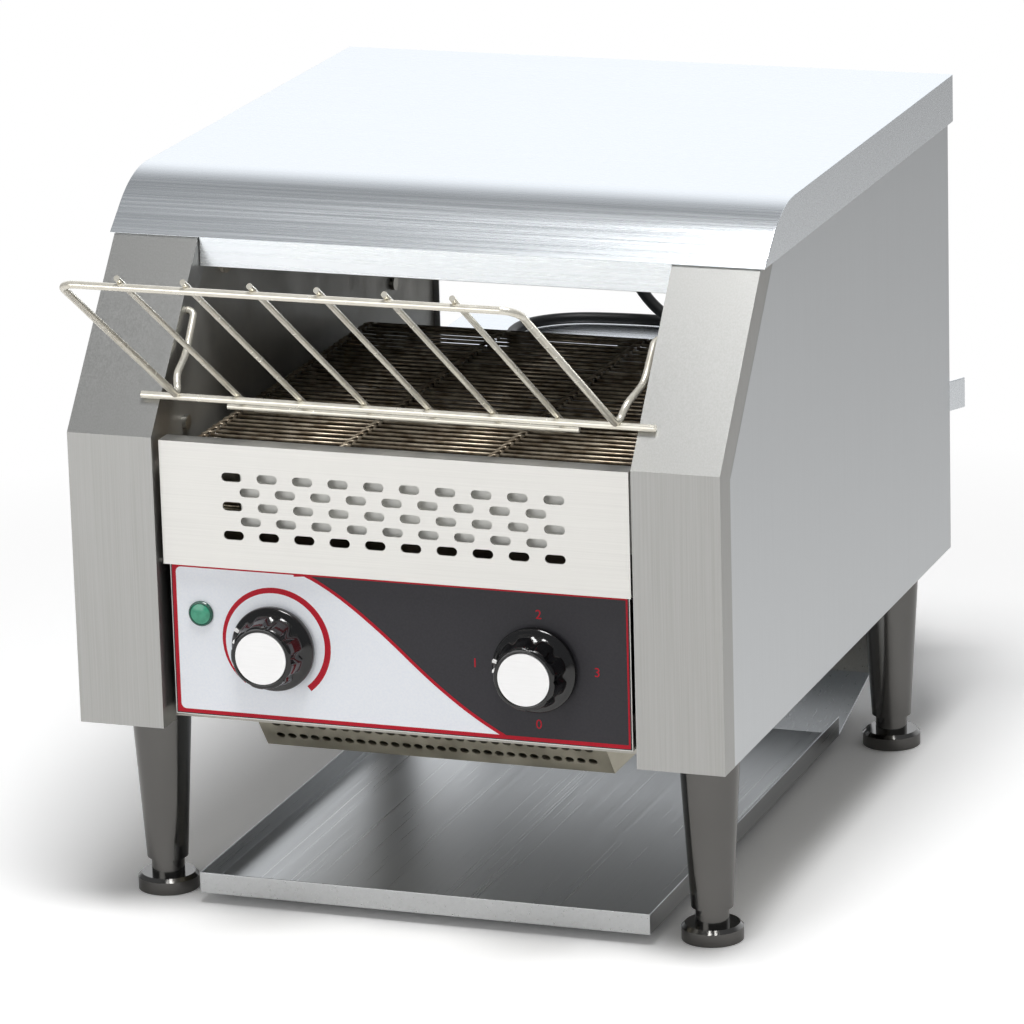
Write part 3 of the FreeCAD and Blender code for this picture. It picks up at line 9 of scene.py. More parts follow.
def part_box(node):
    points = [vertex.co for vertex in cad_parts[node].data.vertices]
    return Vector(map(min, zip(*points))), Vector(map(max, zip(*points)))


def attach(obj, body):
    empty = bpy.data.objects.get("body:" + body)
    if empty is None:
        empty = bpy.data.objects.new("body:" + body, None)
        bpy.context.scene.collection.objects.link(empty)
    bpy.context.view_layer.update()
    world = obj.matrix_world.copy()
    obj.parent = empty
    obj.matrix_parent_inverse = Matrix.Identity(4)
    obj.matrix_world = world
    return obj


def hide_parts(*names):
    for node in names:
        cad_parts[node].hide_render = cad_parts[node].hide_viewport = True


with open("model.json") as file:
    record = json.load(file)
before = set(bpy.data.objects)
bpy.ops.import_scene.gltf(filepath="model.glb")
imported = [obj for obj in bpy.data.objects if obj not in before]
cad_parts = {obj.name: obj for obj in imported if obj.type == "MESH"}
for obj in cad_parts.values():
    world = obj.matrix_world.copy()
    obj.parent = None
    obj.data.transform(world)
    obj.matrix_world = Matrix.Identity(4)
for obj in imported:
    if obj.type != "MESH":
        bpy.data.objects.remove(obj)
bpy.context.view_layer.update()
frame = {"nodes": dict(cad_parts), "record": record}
print("frame loaded:", len(frame["nodes"]), "nodes")

mm = 0.001
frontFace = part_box("front_post_left")[0].y      # the posts' front faces
midY = frontFace + 220 * mm                     # middle of the casing's depth


# A point given in millimetres from the middle of the casing
def place(x, y, z):
    return Vector((x * mm, y * mm + midY, z * mm))


# Camera

photoCamera = {
    "azimuth": 19.96,
    "elevation": 16.03,
    "roll": -1.61,
    "distance": 3.461,
    "lens": 215.5,              # millimetres
    "sensor": 36,
    "sees": 50,                 # metres
    "lookAt": (-10.8, 0, 179.4),
}


def addCamera(setup):
    azimuth, elevation, roll = (math.radians(setup[k]) for k in ("azimuth", "elevation", "roll"))
    reach = math.cos(elevation)
    back = Vector((math.sin(azimuth) * reach, -math.cos(azimuth) * reach, math.sin(elevation)))
    level = (-back).cross(Vector((0, 0, 1))).normalized()
    upright = level.cross(-back)
    right = level * math.cos(roll) + upright * math.sin(roll)
    up = -level * math.sin(roll) + upright * math.cos(roll)
    data = bpy.data.cameras.new("photoCamera")
    data.lens = setup["lens"]
    data.sensor_width = setup["sensor"]
    data.clip_end = setup["sees"]
    camera = bpy.data.objects.new("photoCamera", data)
    bpy.context.scene.collection.objects.link(camera)
    turned = Matrix((right, up, back)).transposed().to_4x4()
    camera.matrix_world = Matrix.Translation(place(*setup["lookAt"]) + back * setup["distance"]) @ turned
    bpy.context.scene.camera = camera


addCamera(photoCamera)


# Light: a pale studio with a soft lamp overhead and a larger one low in front on the left

studio = {
    "skyDiffuse": 0.26,
    "frontGloss": 0.26,         # the darker half of the room, in front and overhead
    "backGloss": 1.1,           # the white wall behind the machine
    "wallFrom": 0.45,
    "wallTo": 0.86,
    "keyPower": 43,
    "keySize": 0.85,
    "keyFrom": (250, -620, 2500),
    "fillPower": 20,
    "fillSize": 1.8,
    "fillFrom": (-1300, -2600, 700),
    "aimAt": (0, 0, 200),
    "floorHalf": 15,            # metres
    "floorGap": 0.0002,         # metres under the feet
    "floorHex": "#F2F1F0",
    "floorGain": 1.22,          # for camera rays only, so that the lit floor is white
    "floorFade": (0.5, 0.85),   # metres from the machine over which it turns plain white
}


def linear(hexColour):
    parts = [int(hexColour[i:i + 2], 16) / 255 for i in (1, 3, 5)]
    return [c / 12.92 if c <= 0.04045 else ((c + 0.055) / 1.055) ** 2.4 for c in parts] + [1.0]


# Adds one node with its settings and links; a link is (socket name or number, output)
def addNode(tree, kind, settings=None, links=()):
    node = tree.nodes.new(kind)
    for name, value in (settings or {}).items():
        if name in node.bl_rna.properties:
            setattr(node, name, value)
        else:
            node.inputs[name].default_value = value
    for socket, output in links:
        tree.links.new(output, node.inputs[socket])
    return node


def lightStudio(setup):
    world = bpy.data.worlds.new("paleStudio")
    bpy.context.scene.world = world
    world.use_nodes = True
    tree = world.node_tree
    tree.nodes.clear()
    where = addNode(tree, "ShaderNodeTexCoord")
    parts = addNode(tree, "ShaderNodeSeparateXYZ", links=[(0, where.outputs["Generated"])])
    wallFade = {"interpolation_type": "SMOOTHSTEP",
                "From Min": setup["wallFrom"], "From Max": setup["wallTo"],
                "To Min": setup["frontGloss"], "To Max": setup["backGloss"]}
    wall = addNode(tree, "ShaderNodeMapRange", wallFade, [(0, parts.outputs["Y"])])
    sky = {"Color": linear("#FFFFFF"), "Strength": setup["skyDiffuse"]}
    plain = addNode(tree, "ShaderNodeBackground", sky)
    gloss = addNode(tree, "ShaderNodeBackground", {"Color": linear("#FAFCFF")},
                    [("Strength", wall.outputs[0])])
    white = addNode(tree, "ShaderNodeBackground", {"Color": linear("#FFFFFF"), "Strength": 1.0})
    path = addNode(tree, "ShaderNodeLightPath")
    forGloss = addNode(tree, "ShaderNodeMixShader", links=[
        (0, path.outputs["Is Glossy Ray"]), (1, plain.outputs[0]), (2, gloss.outputs[0])])
    forCamera = addNode(tree, "ShaderNodeMixShader", links=[
        (0, path.outputs["Is Camera Ray"]), (1, forGloss.outputs[0]), (2, white.outputs[0])])
    addNode(tree, "ShaderNodeOutputWorld", links=[(0, forCamera.outputs[0])])
    for name in ("key", "fill"):
        lamp = bpy.data.lights.new(name + "Lamp", "AREA")
        lamp.energy = setup[name + "Power"]
        lamp.size = setup[name + "Size"]
        stand = bpy.data.objects.new(name + "Lamp", lamp)
        bpy.context.scene.collection.objects.link(stand)
        stand.location = place(*setup[name + "From"])
        stand.rotation_euler = (place(*setup["aimAt"]) - stand.location).to_track_quat("-Z", "Y").to_euler()


lightStudio(studio)
bpy.context.scene.view_settings.view_transform = "Standard"


# Materials

def newMaterial(name):
    material = bpy.data.materials.new(name)
    material.use_nodes = True
    tree = material.node_tree
    tree.nodes.clear()
    shader = addNode(tree, "ShaderNodeBsdfPrincipled")
    addNode(tree, "ShaderNodeOutputMaterial", links=[(0, shader.outputs[0])])
    return material, tree, shader


patternReach = {
    "tint": (0.35, 0.65),       # the noise values that get a finish's first and last colour
    "rough": (0.3, 0.7),
    "streakDetail": 4.0,
    "cloudDetail": 3.0,
}


# Object coordinates stretched along one axis: streaks of the given width and length in millimetres
def streakPattern(tree, width, length, along):
    where = addNode(tree, "ShaderNodeTexCoord")
    scale = [1000 / width] * 3
    scale["XYZ".index(along)] = 1000 / length
    mapping = addNode(tree, "ShaderNodeMapping", {"Scale": scale}, [(0, where.outputs["Object"])])
    noise = {"Scale": 1.0, "Detail": patternReach["streakDetail"], "Roughness": 0.6}
    return addNode(tree, "ShaderNodeTexNoise", noise, [("Vector", mapping.outputs[0])])


# Soft patches of the given size in millimetres
def cloudPattern(tree, size):
    where = addNode(tree, "ShaderNodeTexCoord")
    noise = {"Scale": 1000 / size, "Detail": patternReach["cloudDetail"]}
    return addNode(tree, "ShaderNodeTexNoise", noise, [("Vector", where.outputs["Object"])])


def tintBetween(tree, shader, pattern, *colours):
    ramp = addNode(tree, "ShaderNodeValToRGB", links=[(0, pattern.outputs[0])])
    for stop, position, colour in zip(ramp.color_ramp.elements, patternReach["tint"], colours):
        stop.position = position
        stop.color = linear(colour)
    tree.links.new(ramp.outputs[0], shader.inputs["Base Color"])


def roughBetween(tree, shader, pattern, low, high):
    start, end = patternReach["rough"]
    reach = {"From Min": start, "From Max": end, "To Min": low, "To Max": high}
    spread = addNode(tree, "ShaderNodeMapRange", reach, [(0, pattern.outputs[0])])
    tree.links.new(spread.outputs[0], shader.inputs["Roughness"])


def bumpFrom(tree, shader, pattern, height):
    bump = addNode(tree, "ShaderNodeBump", {"Strength": 1.0, "Distance": height * mm},
                   [("Height", pattern.outputs[0])])
    tree.links.new(bump.outputs[0], shader.inputs["Normal"])


# Brushed 430 stainless sheet: fine belt-sanded lines that widen reflections across the grain.
# Real lines are about 0.05 mm wide and are drawn coarser, so that they show
def brushedStainless(name, dark, light, rough, along, streak=(0.7, 90), depth=0.008):
    material, tree, shader = newMaterial(name)
    shader.inputs["Metallic"].default_value = 1.0
    grain = streakPattern(tree, *streak, along)
    tintBetween(tree, shader, grain, dark, light)
    roughBetween(tree, shader, grain, rough - 0.04, rough + 0.05)
    bumpFrom(tree, shader, grain, depth)
    return material


# Aluminised steel inside the casing: soft satin, mottled by heat and handling
def aluminisedSheet(name, dark, light, rough=0.45, metallic=1.0):
    material, tree, shader = newMaterial(name)
    shader.inputs["Metallic"].default_value = metallic
    mottle = cloudPattern(tree, 18)
    tintBetween(tree, shader, mottle, dark, light)
    roughBetween(tree, shader, mottle, rough - 0.06, rough + 0.1)
    return material


# Drawn and plated wire: almost a mirror, with faint drawing lines
def platedWire(name, dark, light, rough, metallic=1.0, patch=6):
    material, tree, shader = newMaterial(name)
    shader.inputs["Metallic"].default_value = metallic
    mottle = cloudPattern(tree, patch)
    tintBetween(tree, shader, mottle, dark, light)
    roughBetween(tree, shader, mottle, rough, rough + 0.08)
    return material


# Moulded phenolic or ABS: an even colour with a fine texture of spark-eroded steel
def mouldedPlastic(name, dark, light, rough, grain=0.4, height=0.01, coat=0.0):
    material, tree, shader = newMaterial(name)
    pattern = cloudPattern(tree, grain)
    tintBetween(tree, shader, pattern, dark, light)
    roughBetween(tree, shader, pattern, rough - 0.03, rough + 0.05)
    bumpFrom(tree, shader, pattern, height)
    shader.inputs["IOR"].default_value = 1.5
    shader.inputs["Coat Weight"].default_value = coat
    return material


# Screen-printed polycarbonate film: flat ink under a soft matt lacquer
def printedFilm(name, hexColour, shade, rough=0.38):
    material, tree, shader = newMaterial(name)
    pattern = cloudPattern(tree, 1.2)
    tintBetween(tree, shader, pattern, shade, hexColour)
    roughBetween(tree, shader, pattern, rough, rough + 0.06)
    shader.inputs["IOR"].default_value = 1.58
    shader.inputs["Specular IOR Level"].default_value = 0.2     # the matt lacquer hides most of the gloss
    return material


# Fired ceramic: matt and chalky with small dark specks
def firedCeramic(name):
    material, tree, shader = newMaterial(name)
    specks = cloudPattern(tree, 1.5)
    tintBetween(tree, shader, specks, "#CFC8B8", "#ECE7DC")
    roughBetween(tree, shader, specks, 0.6, 0.8)
    return material


# Dyed translucent polycarbonate lens over a neon lamp
def lampLens(name, dark, light):
    material, tree, shader = newMaterial(name)
    depth = cloudPattern(tree, 3)
    tintBetween(tree, shader, depth, dark, light)
    roughBetween(tree, shader, depth, 0.12, 0.2)
    shader.inputs["IOR"].default_value = 1.58
    shader.inputs["Coat Weight"].default_value = 0.4
    return material


finish = {
    # The posts and the side and rear panels are one stainless: the posts' base is painted darker as painted
    # shade, the sides' and rear panel's lighter as painted light
    "post": brushedStainless("brushedStainlessPostsPaintedShade", "#B2B2AF", "#BBBBB9", 0.4, "Z"),
    "side": brushedStainless("brushedStainlessSidesPaintedLight", "#D6D9DB", "#DBDEE0", 0.42, "Z"),
    # The hood, rear shelf and front rail are painted lighter than the other stainless, with a bluish painted
    # reflection of the white wall behind
    "roof": brushedStainless("brushedStainlessRoofPaintedReflection", "#EFF4F8", "#F2F6FA", 0.27, "X", (1.2, 220), 0.003),
    "fascia": brushedStainless("brushedStainlessFascia", "#E9E8E4", "#EFEEEA", 0.45, "X", (0.7, 90), 0.004),
    "tray": brushedStainless("brushedStainlessTray", "#C3C5C6", "#C8CACB", 0.3, "Y", (1.6, 260), 0.002),
    "guard": aluminisedSheet("aluminisedGuard", "#C2BDAC", "#D0CBBB"),
    "pan": aluminisedSheet("aluminisedPan", "#A5A39C", "#B9B7B0"),
    # The vent baffle is painted near white, painted light that lifts it out of the shade of the cavity behind
    # the slots
    "baffle": aluminisedSheet("paintedLightBaffle", "#E4E4E0", "#F0F0EC", 0.5, 0.35),
    # The heat shield and the lower reflector under the belt are painted dark brown, painted shade that
    # darkens the gaps between the belt wires
    "shield": aluminisedSheet("paintedShadeShield", "#3A332B", "#5C5247", 0.4),
    "wall": aluminisedSheet("heatStainedWall", "#ADACA7", "#BBBAB4", 0.4, 0.5),
    "beltWire": platedWire("heatTintedBeltWire", "#7D6E5B", "#BDB19D", 0.3, 0.6, 9),
    "rackWire": platedWire("platedRackWire", "#EDE8DA", "#F4F0E4", 0.2, 0.6),
    "leg": platedWire("smokedChromeLeg", "#6A6967", "#6F6E6C", 0.1, 1.0, 60),
    "shaft": platedWire("turnedShaftSteel", "#8C8A86", "#A3A19C", 0.3),
    "screw": platedWire("zincPlatedScrew", "#A5A39C", "#C0BEB8", 0.3),
    "brass": platedWire("sinteredBronzeBush", "#8A6B3A", "#A98851", 0.42),
    "heater": aluminisedSheet("oxidisedHeaterSheath", "#3B3632", "#544D47", 0.55),
    "motor": mouldedPlastic("enamelledMotor", "#303336", "#3A3D41", 0.4, 2.0),
    "black": mouldedPlastic("mouldedNylon", "#161617", "#1D1D1E", 0.45),
    "knob": mouldedPlastic("polishedPhenolicKnob", "#070708", "#0C0C0D", 0.12, 0.8, 0.004, 0.5),
    "knobFace": brushedStainless("spunAluminiumFace", "#FBFBFB", "#FFFFFF", 0.45, "X", (0.6, 12)),
    "ceramic": firedCeramic("firedCeramic"),
    "lens": lampLens("dyedPolycarbonateLens", "#2F9272", "#3CA582"),
    "lensRim": lampLens("dyedPolycarbonateRim", "#0B4B3B", "#0F5645"),
    "filmDark": printedFilm("printedFilmCharcoal", "#39383C", "#353438"),
    "filmWhite": printedFilm("printedFilmWhite", "#F6F9FE", "#F1F5FC"),
    "filmRed": printedFilm("printedFilmRed", "#C00A26", "#B40923"),
    "cord": mouldedPlastic("extrudedRubberCord", "#121213", "#1A1A1B", 0.45, 0.8, 0.02),
    "mark": mouldedPlastic("whitePaintFill", "#F4F4F2", "#FFFFFF", 0.4),
}
print("materials made:", len(finish))

nodeFinish = {
    "post": ["front_post_left", "front_post_right"],
    "side": ["side_panel_left", "side_panel_right", "rear_panel"],
    "roof": ["top_hood", "rear_shelf", "upper_front_rail"],
    "fascia": ["vent_panel", "control_panel"],
    "tray": ["toast_tray"],
    "guard": ["fan_guard"],
    "pan": ["base_pan", "upper_reflector"],
    "baffle": ["vent_baffle"],
    "shield": ["heat_shield", "lower_reflector"],
    "wall": ["inner_wall_left", "inner_wall_right"],
    "beltWire": ["conveyor_belt"],
    "rackWire": ["feed_rack"],
    "leg": ["leg_front_left", "leg_front_right", "leg_rear_left", "leg_rear_right", "foot_front_left",
            "foot_front_right", "foot_rear_left", "foot_rear_right"],
    "shaft": ["drive_shaft", "idler_shaft", "drive_sprockets", "idler_sprockets", "driven_sprocket",
              "motor_sprocket", "drive_chain", "colour_spindle", "selector_spindle"],
    "screw": ["machine_screws", "leg_nuts"],
    "brass": ["shaft_bushes"],
    "heater": ["upper_heaters", "lower_heaters"],
    "motor": ["gear_motor"],
    "black": ["fan_frame", "fan_rotor", "speed_controller", "selector_switch", "terminal_block", "plug"],
    "knob": ["colour_knob", "selector_knob"],
    "knobFace": ["colour_knob_cap", "selector_knob_cap"],
    "ceramic": ["heater_bushings"],
    "lens": ["indicator_lamp"],
    "filmDark": ["control_label"],
    "cord": ["power_cord", "cord_coil", "cord_gland"],
}


def dress(piece, material):
    piece.data.materials.clear()
    piece.data.materials.append(material)


for finishName, nodes in nodeFinish.items():
    for node in nodes:
        dress(frame["nodes"][node], finish[finishName])

bodyOf = {node: body for body, nodes in frame["record"]["behaviour"]["bodies"].items() for node in nodes}


# Helpers for new pieces

def addPiece(name, data, body, material=None):
    piece = bpy.data.objects.new(name, data)
    bpy.context.scene.collection.objects.link(piece)
    if material:
        dress(piece, material)
    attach(piece, body)
    return piece


def smoothByAngle(mesh, degrees=40):
    mesh.polygons.foreach_set("use_smooth", [True] * len(mesh.polygons))
    mesh.set_sharp_from_angle(angle=math.radians(degrees))


def finishMesh(bm, name, degrees=40):
    mesh = bpy.data.meshes.new(name)
    bm.to_mesh(mesh)
    bm.free()
    smoothByAngle(mesh, degrees)
    return mesh


# Sheet metal: each visible sheet again, with its folded and sheared edges slightly rounded

sheetEdges = {
    "front_post_left": 0.5,
    "front_post_right": 0.5,
    "side_panel_left": 0.3,
    "side_panel_right": 0.3,
    "top_hood": 0.45,
    "upper_front_rail": 0.35,
    "vent_panel": 0.3,
    "vent_baffle": 0.3,
    "rear_panel": 0.3,
    "rear_shelf": 0.4,
    "toast_tray": 0.4,
    "fan_guard": 0.3,
}
sheetWork = {
    "mergeWithin": 0.004,
    "flatUnder": 0.5,           # degrees between faces that are one flat face
    "foldOver": 28,             # degrees between faces that meet at a fold or a sheared edge
    "smoothUnder": 50,
    "baffleEnd": 2,             # what lies this near the baffle's left end is moved
    "baffleReach": 7.4,         # so far, so that the baffle covers the offset rows' first slots
}


def softenSheet(setup, node, width):
    bm = bmesh.new()
    bm.from_mesh(frame["nodes"][node].data)
    bmesh.ops.remove_doubles(bm, verts=bm.verts, dist=setup["mergeWithin"] * mm)
    bmesh.ops.dissolve_limit(bm, angle_limit=math.radians(setup["flatUnder"]), verts=bm.verts, edges=bm.edges)
    fold = math.radians(setup["foldOver"])
    folds = [e for e in bm.edges if len(e.link_faces) == 2 and e.calc_face_angle(0) > fold]
    bmesh.ops.bevel(bm, geom=folds, offset=width * mm, offset_type="OFFSET", segments=2, profile=0.5,
                    affect="EDGES", clamp_overlap=True, material=-1)
    if node == "vent_baffle":
        left = min(v.co.x for v in bm.verts) + setup["baffleEnd"] * mm
        leftEnd = [v for v in bm.verts if v.co.x < left]
        bmesh.ops.translate(bm, verts=leftEnd, vec=(-setup["baffleReach"] * mm, 0, 0))
    piece = addPiece(node + "_sheet", finishMesh(bm, node + "_sheet", setup["smoothUnder"]), bodyOf[node],
                     frame["nodes"][node].data.materials[0])
    weighted = piece.modifiers.new("evenShading", "WEIGHTED_NORMAL")
    weighted.keep_sharp = True
    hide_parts(node)


for node, width in sheetEdges.items():
    softenSheet(sheetWork, node, width)
print("sheets softened:", len(sheetEdges))


# Knobs: a skirt with a scalloped grip above it, turned from one profile

turnedMerge = 0.01      # points of a turned piece nearer than this become one

knobShape = {
    "profile": [(14.62, 1.5), (14.62, 0.5), (14.9, 0.15), (15.6, 0.0), (16.6, 0.25), (17.4, 1.0),
                (17.7, 2.2), (18.3, 7.0), (18.9, 12.0), (19.4, 13.6), (20.6, 14.9), (22.0, 15.7),
                (23.1, 16.4), (23.5, 17.2), (23.5, 19.4), (23.2, 20.0), (12.0, 20.0)],
    "lobes": 9,
    "scallop": 2.1,
    "scallopFrom": 0.6,
    "scallopTo": 13.8,
    "scallopStart": 1.6,        # depth over which a scallop deepens behind the face
    "scallopEnd": 2.2,          # and over which it runs out before the skirt
    "scallopOutside": 15,
    "scallopSwell": 0.7,        # under one, for broad scallops with narrow ribs between them
    "steps": 108,
    "markWidth": 1.7,
    "markEdge": 0.15,
    "markAngles": {"colour_knob": 27, "selector_knob": 11},     # degrees above nine o'clock
    "marks": [(15.2, 17.95, 0.6, 4.2), (20.2, 22.9, 14.3, 16.2)],
}


def turnKnob(shape, node, x, z):
    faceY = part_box(node)[0].y
    bm = bmesh.new()
    ring = [bm.verts.new((r * mm, y * mm, 0)) for r, y in shape["profile"]]
    edges = [bm.edges.new(pair) for pair in zip(ring, ring[1:])]
    bmesh.ops.spin(bm, geom=ring + edges, cent=(0, 0, 0), axis=(0, 1, 0), angle=2 * math.pi,
                   steps=shape["steps"], use_merge=True, use_normal_flip=False, use_duplicate=False)
    bmesh.ops.remove_doubles(bm, verts=bm.verts, dist=turnedMerge * mm)
    for v in bm.verts:
        radius = math.hypot(v.co.x, v.co.z)
        y = v.co.y / mm
        if shape["scallopFrom"] < y < shape["scallopTo"] and radius > shape["scallopOutside"] * mm:
            reach = min(1, (y - shape["scallopFrom"]) / shape["scallopStart"],
                        (shape["scallopTo"] - y) / shape["scallopEnd"])
            wave = max(0, math.cos(shape["lobes"] * math.atan2(v.co.z, v.co.x)))
            pulled = radius - shape["scallop"] * mm * reach * wave ** shape["scallopSwell"]
            v.co.x *= pulled / radius
            v.co.z *= pulled / radius
    bmesh.ops.recalc_face_normals(bm, faces=bm.faces)
    bmesh.ops.translate(bm, verts=bm.verts, vec=(x, faceY, z))
    piece = addPiece(node + "_moulding", finishMesh(bm, node + "_moulding", 50), bodyOf[node],
                     finish["knob"])
    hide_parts(node)
    return faceY


# White pointer lines, one at the front of the grip and one on the skirt
def paintPointer(shape, node, x, z, faceY):
    bm = bmesh.new()
    for inner, outer, front, back in shape["marks"]:
        made = bmesh.ops.create_cube(bm, size=1)["verts"]
        size = ((outer - inner) * mm, (back - front) * mm, shape["markWidth"] * mm)
        bmesh.ops.scale(bm, verts=made, vec=size)
        bmesh.ops.translate(bm, verts=made, vec=(-(inner + outer) / 2 * mm, (front + back) / 2 * mm, 0))
    bmesh.ops.bevel(bm, geom=bm.edges[:], offset=shape["markEdge"] * mm, offset_type="OFFSET", segments=1,
                    profile=0.5, affect="EDGES", material=-1)
    turned = Matrix.Rotation(math.radians(shape["markAngles"][node]), 3, "Y")
    bmesh.ops.rotate(bm, verts=bm.verts, cent=(0, 0, 0), matrix=turned)
    bmesh.ops.translate(bm, verts=bm.verts, vec=(x, faceY, z))
    addPiece(node + "_pointer", finishMesh(bm, node + "_pointer"), bodyOf[node], finish["mark"])


for node in ("colour_knob", "selector_knob"):
    low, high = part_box(node)
    centre = (low + high) / 2
    front = turnKnob(knobShape, node, centre.x, centre.z)
    paintPointer(knobShape, node, centre.x, centre.z, front)
print("knobs turned")


# Indicator lamp: a stepped green lens in a darker moulded rim

lampShape = {
    "rim": [(7.0, 0.0), (7.0, -1.1), (6.7, -1.5), (6.0, -1.6), (5.7, -1.3), (5.7, 0.0)],
    "lens": [(0.0, -1.9), (4.4, -1.9), (4.7, -1.75), (5.1, -1.75), (5.65, -1.45), (5.65, 0.0)],
    "steps": 48,
    "smoothUnder": 30,
}


def turnLamp(shape):
    low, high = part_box("indicator_lamp")
    centre = (low + high) / 2
    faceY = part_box("control_label")[0].y
    for name, material in (("rim", "lensRim"), ("lens", "lens")):
        bm = bmesh.new()
        line = [bm.verts.new((r * mm, y * mm, 0)) for r, y in shape[name]]
        edges = [bm.edges.new(pair) for pair in zip(line, line[1:])]
        bmesh.ops.spin(bm, geom=line + edges, cent=(0, 0, 0), axis=(0, 1, 0), angle=2 * math.pi,
                       steps=shape["steps"], use_merge=True, use_normal_flip=False, use_duplicate=False)
        bmesh.ops.remove_doubles(bm, verts=bm.verts, dist=turnedMerge * mm)
        bmesh.ops.recalc_face_normals(bm, faces=bm.faces)
        bmesh.ops.translate(bm, verts=bm.verts, vec=(centre.x, faceY, centre.z))
        piece = addPiece("lamp_" + name, finishMesh(bm, "lamp_" + name, shape["smoothUnder"]), "casing",
                         finish[material])
    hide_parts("indicator_lamp")


turnLamp(lampShape)
print("lamp turned")


# Printed overlay: white field, red lines and dial figures, as thin ink layers on the film

overlay = {
    "inkThickness": 0.03,
    "margin": 0.6,              # bare film round the print
    "curve": [(-61.0, 203.4), (-53.0, 200.8), (-45.2, 197.2), (-35.4, 191.4), (-25.7, 184.6), (-17.3, 178.1),
              (-8.8, 171.1), (-0.5, 163.8), (7.6, 156.4), (15.9, 149.1), (24.3, 142.2), (32.6, 135.9),
              (40.8, 130.2), (49.3, 124.9), (59.5, 119.2), (63.0, 117.6)],
    "curveSteps": 6,
    "curveInside": 0.6,         # the curve's own points keep this far inside the print
    "curveStart": (-6, -1.2),   # from the curve's first point and the print's upper edge
    "curveEnd": (3.5, 1.2),     # from its last point and the lower edge
    "whiteOverlap": 4,
    "borderWidth": 2.1,
    "topShare": 0.55,           # the upper and right borders are thinner
    "rightShare": 0.5,
    "curveWidth": 1.8,
    "cornerRadius": 3,
    "cornerSteps": 6,
    "arcCentre": (-70.9, 160.9),
    "arcRadius": 29.6,
    "arcWidths": (0.5, 3.5),
    "arcSweep": (232, -52),
    "arcGrowth": 0.6,
    "arcSteps": 48,
    "figures": {"0": (78.2, 127.6), "1": (43.0, 159.0), "2": (79.5, 188.6), "3": (111.6, 159.0)},
    "figureSize": 7.28,
    "figureDepth": 0.02,
    "figureFront": 0.04,
}
labelLow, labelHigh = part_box("control_label")
inkFace = labelLow.y


# A smooth line through all points
def smoothLine(points, steps):
    line = []
    for i in range(len(points) - 1):
        p = [Vector(points[max(0, min(len(points) - 1, i + k))]) for k in (-1, 0, 1, 2)]
        for s in range(steps):
            t = s / steps
            square = (2 * p[0] - 5 * p[1] + 4 * p[2] - p[3]) * t * t
            cube = (3 * p[1] - p[0] - 3 * p[2] + p[3]) * t * t * t
            line.append(0.5 * (2 * p[1] + (p[2] - p[0]) * t + square + cube))
    line.append(Vector(points[-1]))
    return line


# Closed outlines of (x, z) points in millimetres become one layer of ink in front of the film
def printShape(name, outlines, material, layer):
    bm = bmesh.new()
    thickness = layer * overlay["inkThickness"] * mm
    for outline in outlines:
        face = bm.faces.new([bm.verts.new((x * mm, inkFace - thickness, z * mm)) for x, z in outline])
        face.normal_update()
        if face.normal.y > 0:
            face.normal_flip()
    bmesh.ops.triangulate(bm, faces=bm.faces)
    solid = bmesh.ops.extrude_face_region(bm, geom=bm.faces[:])
    moved = [v for v in solid["geom"] if isinstance(v, bmesh.types.BMVert)]
    bmesh.ops.translate(bm, verts=moved, vec=(0, thickness, 0))
    bmesh.ops.recalc_face_normals(bm, faces=bm.faces)
    return addPiece(name, finishMesh(bm, name), "casing", material)


# The outline of a line of changing width
def strip(line, widths):
    left, right = [], []
    for i, point in enumerate(line):
        ahead = line[min(i + 1, len(line) - 1)] - line[max(i - 1, 0)]
        side = Vector((-ahead.y, ahead.x)).normalized()
        half = widths[i] / 2
        left.append(point + side * half)
        right.append(point - side * half)
    return left + right[::-1]


def printField(setup, curve, low, high):
    white = [(low.x, low.y), (curve[-1].x, low.y)] + [(p.x, p.y) for p in curve[::-1]]
    white += [(curve[0].x - setup["whiteOverlap"], high.y), (low.x, high.y)]
    printShape("whiteField", [white], finish["filmWhite"], 1)


def printCurve(setup, curve, low, high):
    startX, startZ = setup["curveStart"]
    endX, endZ = setup["curveEnd"]
    line = [Vector((curve[0].x + startX, high.y + startZ))] + curve
    line.append(Vector((curve[-1].x + endX, low.y + endZ)))
    printShape("redCurve", [strip(line, [setup["curveWidth"]] * len(line))], finish["filmRed"], 3)


# Four bars and two rounded corners on the left
def printBorder(setup, low, high):
    width = setup["borderWidth"]
    left, right = low.x + width, high.x - width * setup["rightShare"]
    bottom, top = low.y + width, high.y - width * setup["topShare"]
    bars = [[(low.x, low.y), (high.x, low.y), (high.x, bottom), (low.x, bottom)],
            [(low.x, top), (high.x, top), (high.x, high.y), (low.x, high.y)],
            [(low.x, bottom), (left, bottom), (left, top), (low.x, top)],
            [(right, bottom), (high.x, bottom), (high.x, top), (right, top)]]
    radius = setup["cornerRadius"]
    for z, up in ((bottom, 1), (top, -1)):
        corner = [(left, z)]
        for k in range(setup["cornerSteps"] + 1):
            angle = math.radians(90 / setup["cornerSteps"] * k)
            across, along = radius - radius * math.cos(angle), radius - radius * math.sin(angle)
            corner.append((left + across, z + up * along))
        bars.append(corner)
    printShape("redBorder", bars, finish["filmRed"], 2)


# An arc round the left dial that swells from a hairline
def printArc(setup):
    centre = Vector(setup["arcCentre"])
    first, last = setup["arcSweep"]
    thin, thick = setup["arcWidths"]
    arc, widths = [], []
    for k in range(setup["arcSteps"] + 1):
        share = k / setup["arcSteps"]
        angle = math.radians(first + (last - first) * share)
        radius = setup["arcRadius"] + setup["arcGrowth"] * share
        arc.append(centre + radius * Vector((math.cos(angle), math.sin(angle))))
        widths.append(thin + (thick - thin) * (1 - (1 - share) ** 3))
    printShape("heatArc", [strip(arc, widths)], finish["filmRed"], 2)


